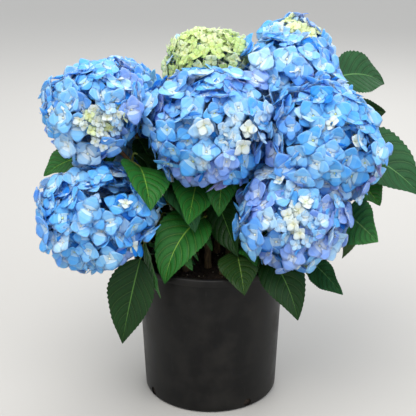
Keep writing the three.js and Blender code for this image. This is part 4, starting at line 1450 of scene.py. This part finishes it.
def set_camera():
    """The photograph's view: from the front, a little above the blooms, looking down."""
    camera = bpy.data.objects.new("camera", bpy.data.cameras.new("camera"))
    camera.data.sensor_width = SENSOR_WIDTH
    camera.data.lens = FOCAL_PIXELS * SENSOR_WIDTH / PICTURE_WIDTH
    camera.location = CAMERA_PLACE
    camera.rotation_euler = (math.radians(90 - CAMERA_PITCH), 0, 0)
    bpy.context.scene.collection.objects.link(camera)
    bpy.context.scene.camera = camera


# Small pale beads in the florets' middles
EYE_FINISHES = [petal_finish("eye_cream", "#eef0d4"), petal_finish("eye_green", "#c9d79b")]
# Blue, lilac, cream and green petals, each in the three colours of its rim, middle and foot, and then
# the eye, which is of the one kind or the other by turns
FLORET_FINISHES = []
for tint, colours in PETAL_TINTS.items():
    FLORET_FINISHES += [petal_finish(f"petal_{zone}_{tint}", colour) for zone, colour in zip(ZONES, colours)]
    FLORET_FINISHES.append(EYE_FINISHES[list(PETAL_TINTS).index(tint) % len(EYE_FINISHES)])
# Thin bluish stalks that show only in the gaps between florets
STALK_FINISH = rough_finish("floret_stalk", "#7fa3b5", "#6f9cd2", 3, 0.6, 0.1)
# Greens of leaves, most of them lit and shaded copies that paint light and shade: one for leaves in the
# light, a darker one as painted shade for those in the shade of the blooms, a greyer one with a painted
# reflection of the sky for those on the right, a browner olive one, and a paler one as painted light on a
# leaf that stands in shade. Each gives the blade, its veins and the painted shade of its hollows
LEAF_FINISHES = {
    green: leaf_finish(f"leaf_{green}_green", *colours)
    for green, *colours in (
        ("mid", "#2a6b27", "#76a03c", "#143f16"), ("dark", "#1a3c17", "#4f7836", "#0c240c"),
        ("grey", "#2c5c34", "#5f8c52", "#15371c"), ("olive", "#233f18", "#627f37", "#12260d"),
        ("light", "#4c8c46", "#8fb46a", "#28552a"),
    )
}
# The leaves' paler, matt underside
LEAF_BACK_FINISH = rough_finish("leaf_underside", "#587647", "#4a693b", 5, 0.7, 0.2)
# Smooth stems, green or turning brown
GREEN_SHOOT_FINISH = rough_finish("green_shoot", "#5d7d33", "#77883f", 5, 0.5, 0.1, 0.3)
RIPENING_SHOOT_FINISH = rough_finish("ripening_shoot", "#6d5c30", "#6b3f2a", 5, 0.55, 0.12, 0.3)
# Yellow green petioles, lighter than the leaves
PETIOLE_FINISH = rough_finish("petiole_skin", "#84983f", "#8f8a46", 6, 0.5, 0.1)
# Brown bark with fibres that run up the canes, darkened past its own colour as painted shade, for the canes
# stand in the shade under the blooms
BARK_FINISH = rough_finish("hydrangea_bark", "#4d3d2a", "#75603f", 2.4, 0.85, 0.5, 0.2)
# Nearly black moist soil, with crumbs of browner bark and some pale grit
SOIL_FINISH = rough_finish("moist_potting_soil", "#1d1510", "#35271c", 2.5, 0.95, 0.8)
CRUMB_FINISHES = [
    rough_finish("composted_bark", "#2c2018", "#4a3726", 1.5, 0.9, 0.4),
    rough_finish("pale_grit", "#8f8676", "#a79e8c", 1.2, 0.85, 0.2),
]
LIMBS = limb_tree()

hang_leaves()
make_pot()
make_crumbs(make_soil())
make_stems()
make_blades()
make_blooms()
# Meshes that were only steps on the way go.
for name in [mesh.name for mesh in bpy.data.meshes if mesh.users == 0]:
    bpy.data.meshes.remove(bpy.data.meshes[name])
set_stage()
set_camera()
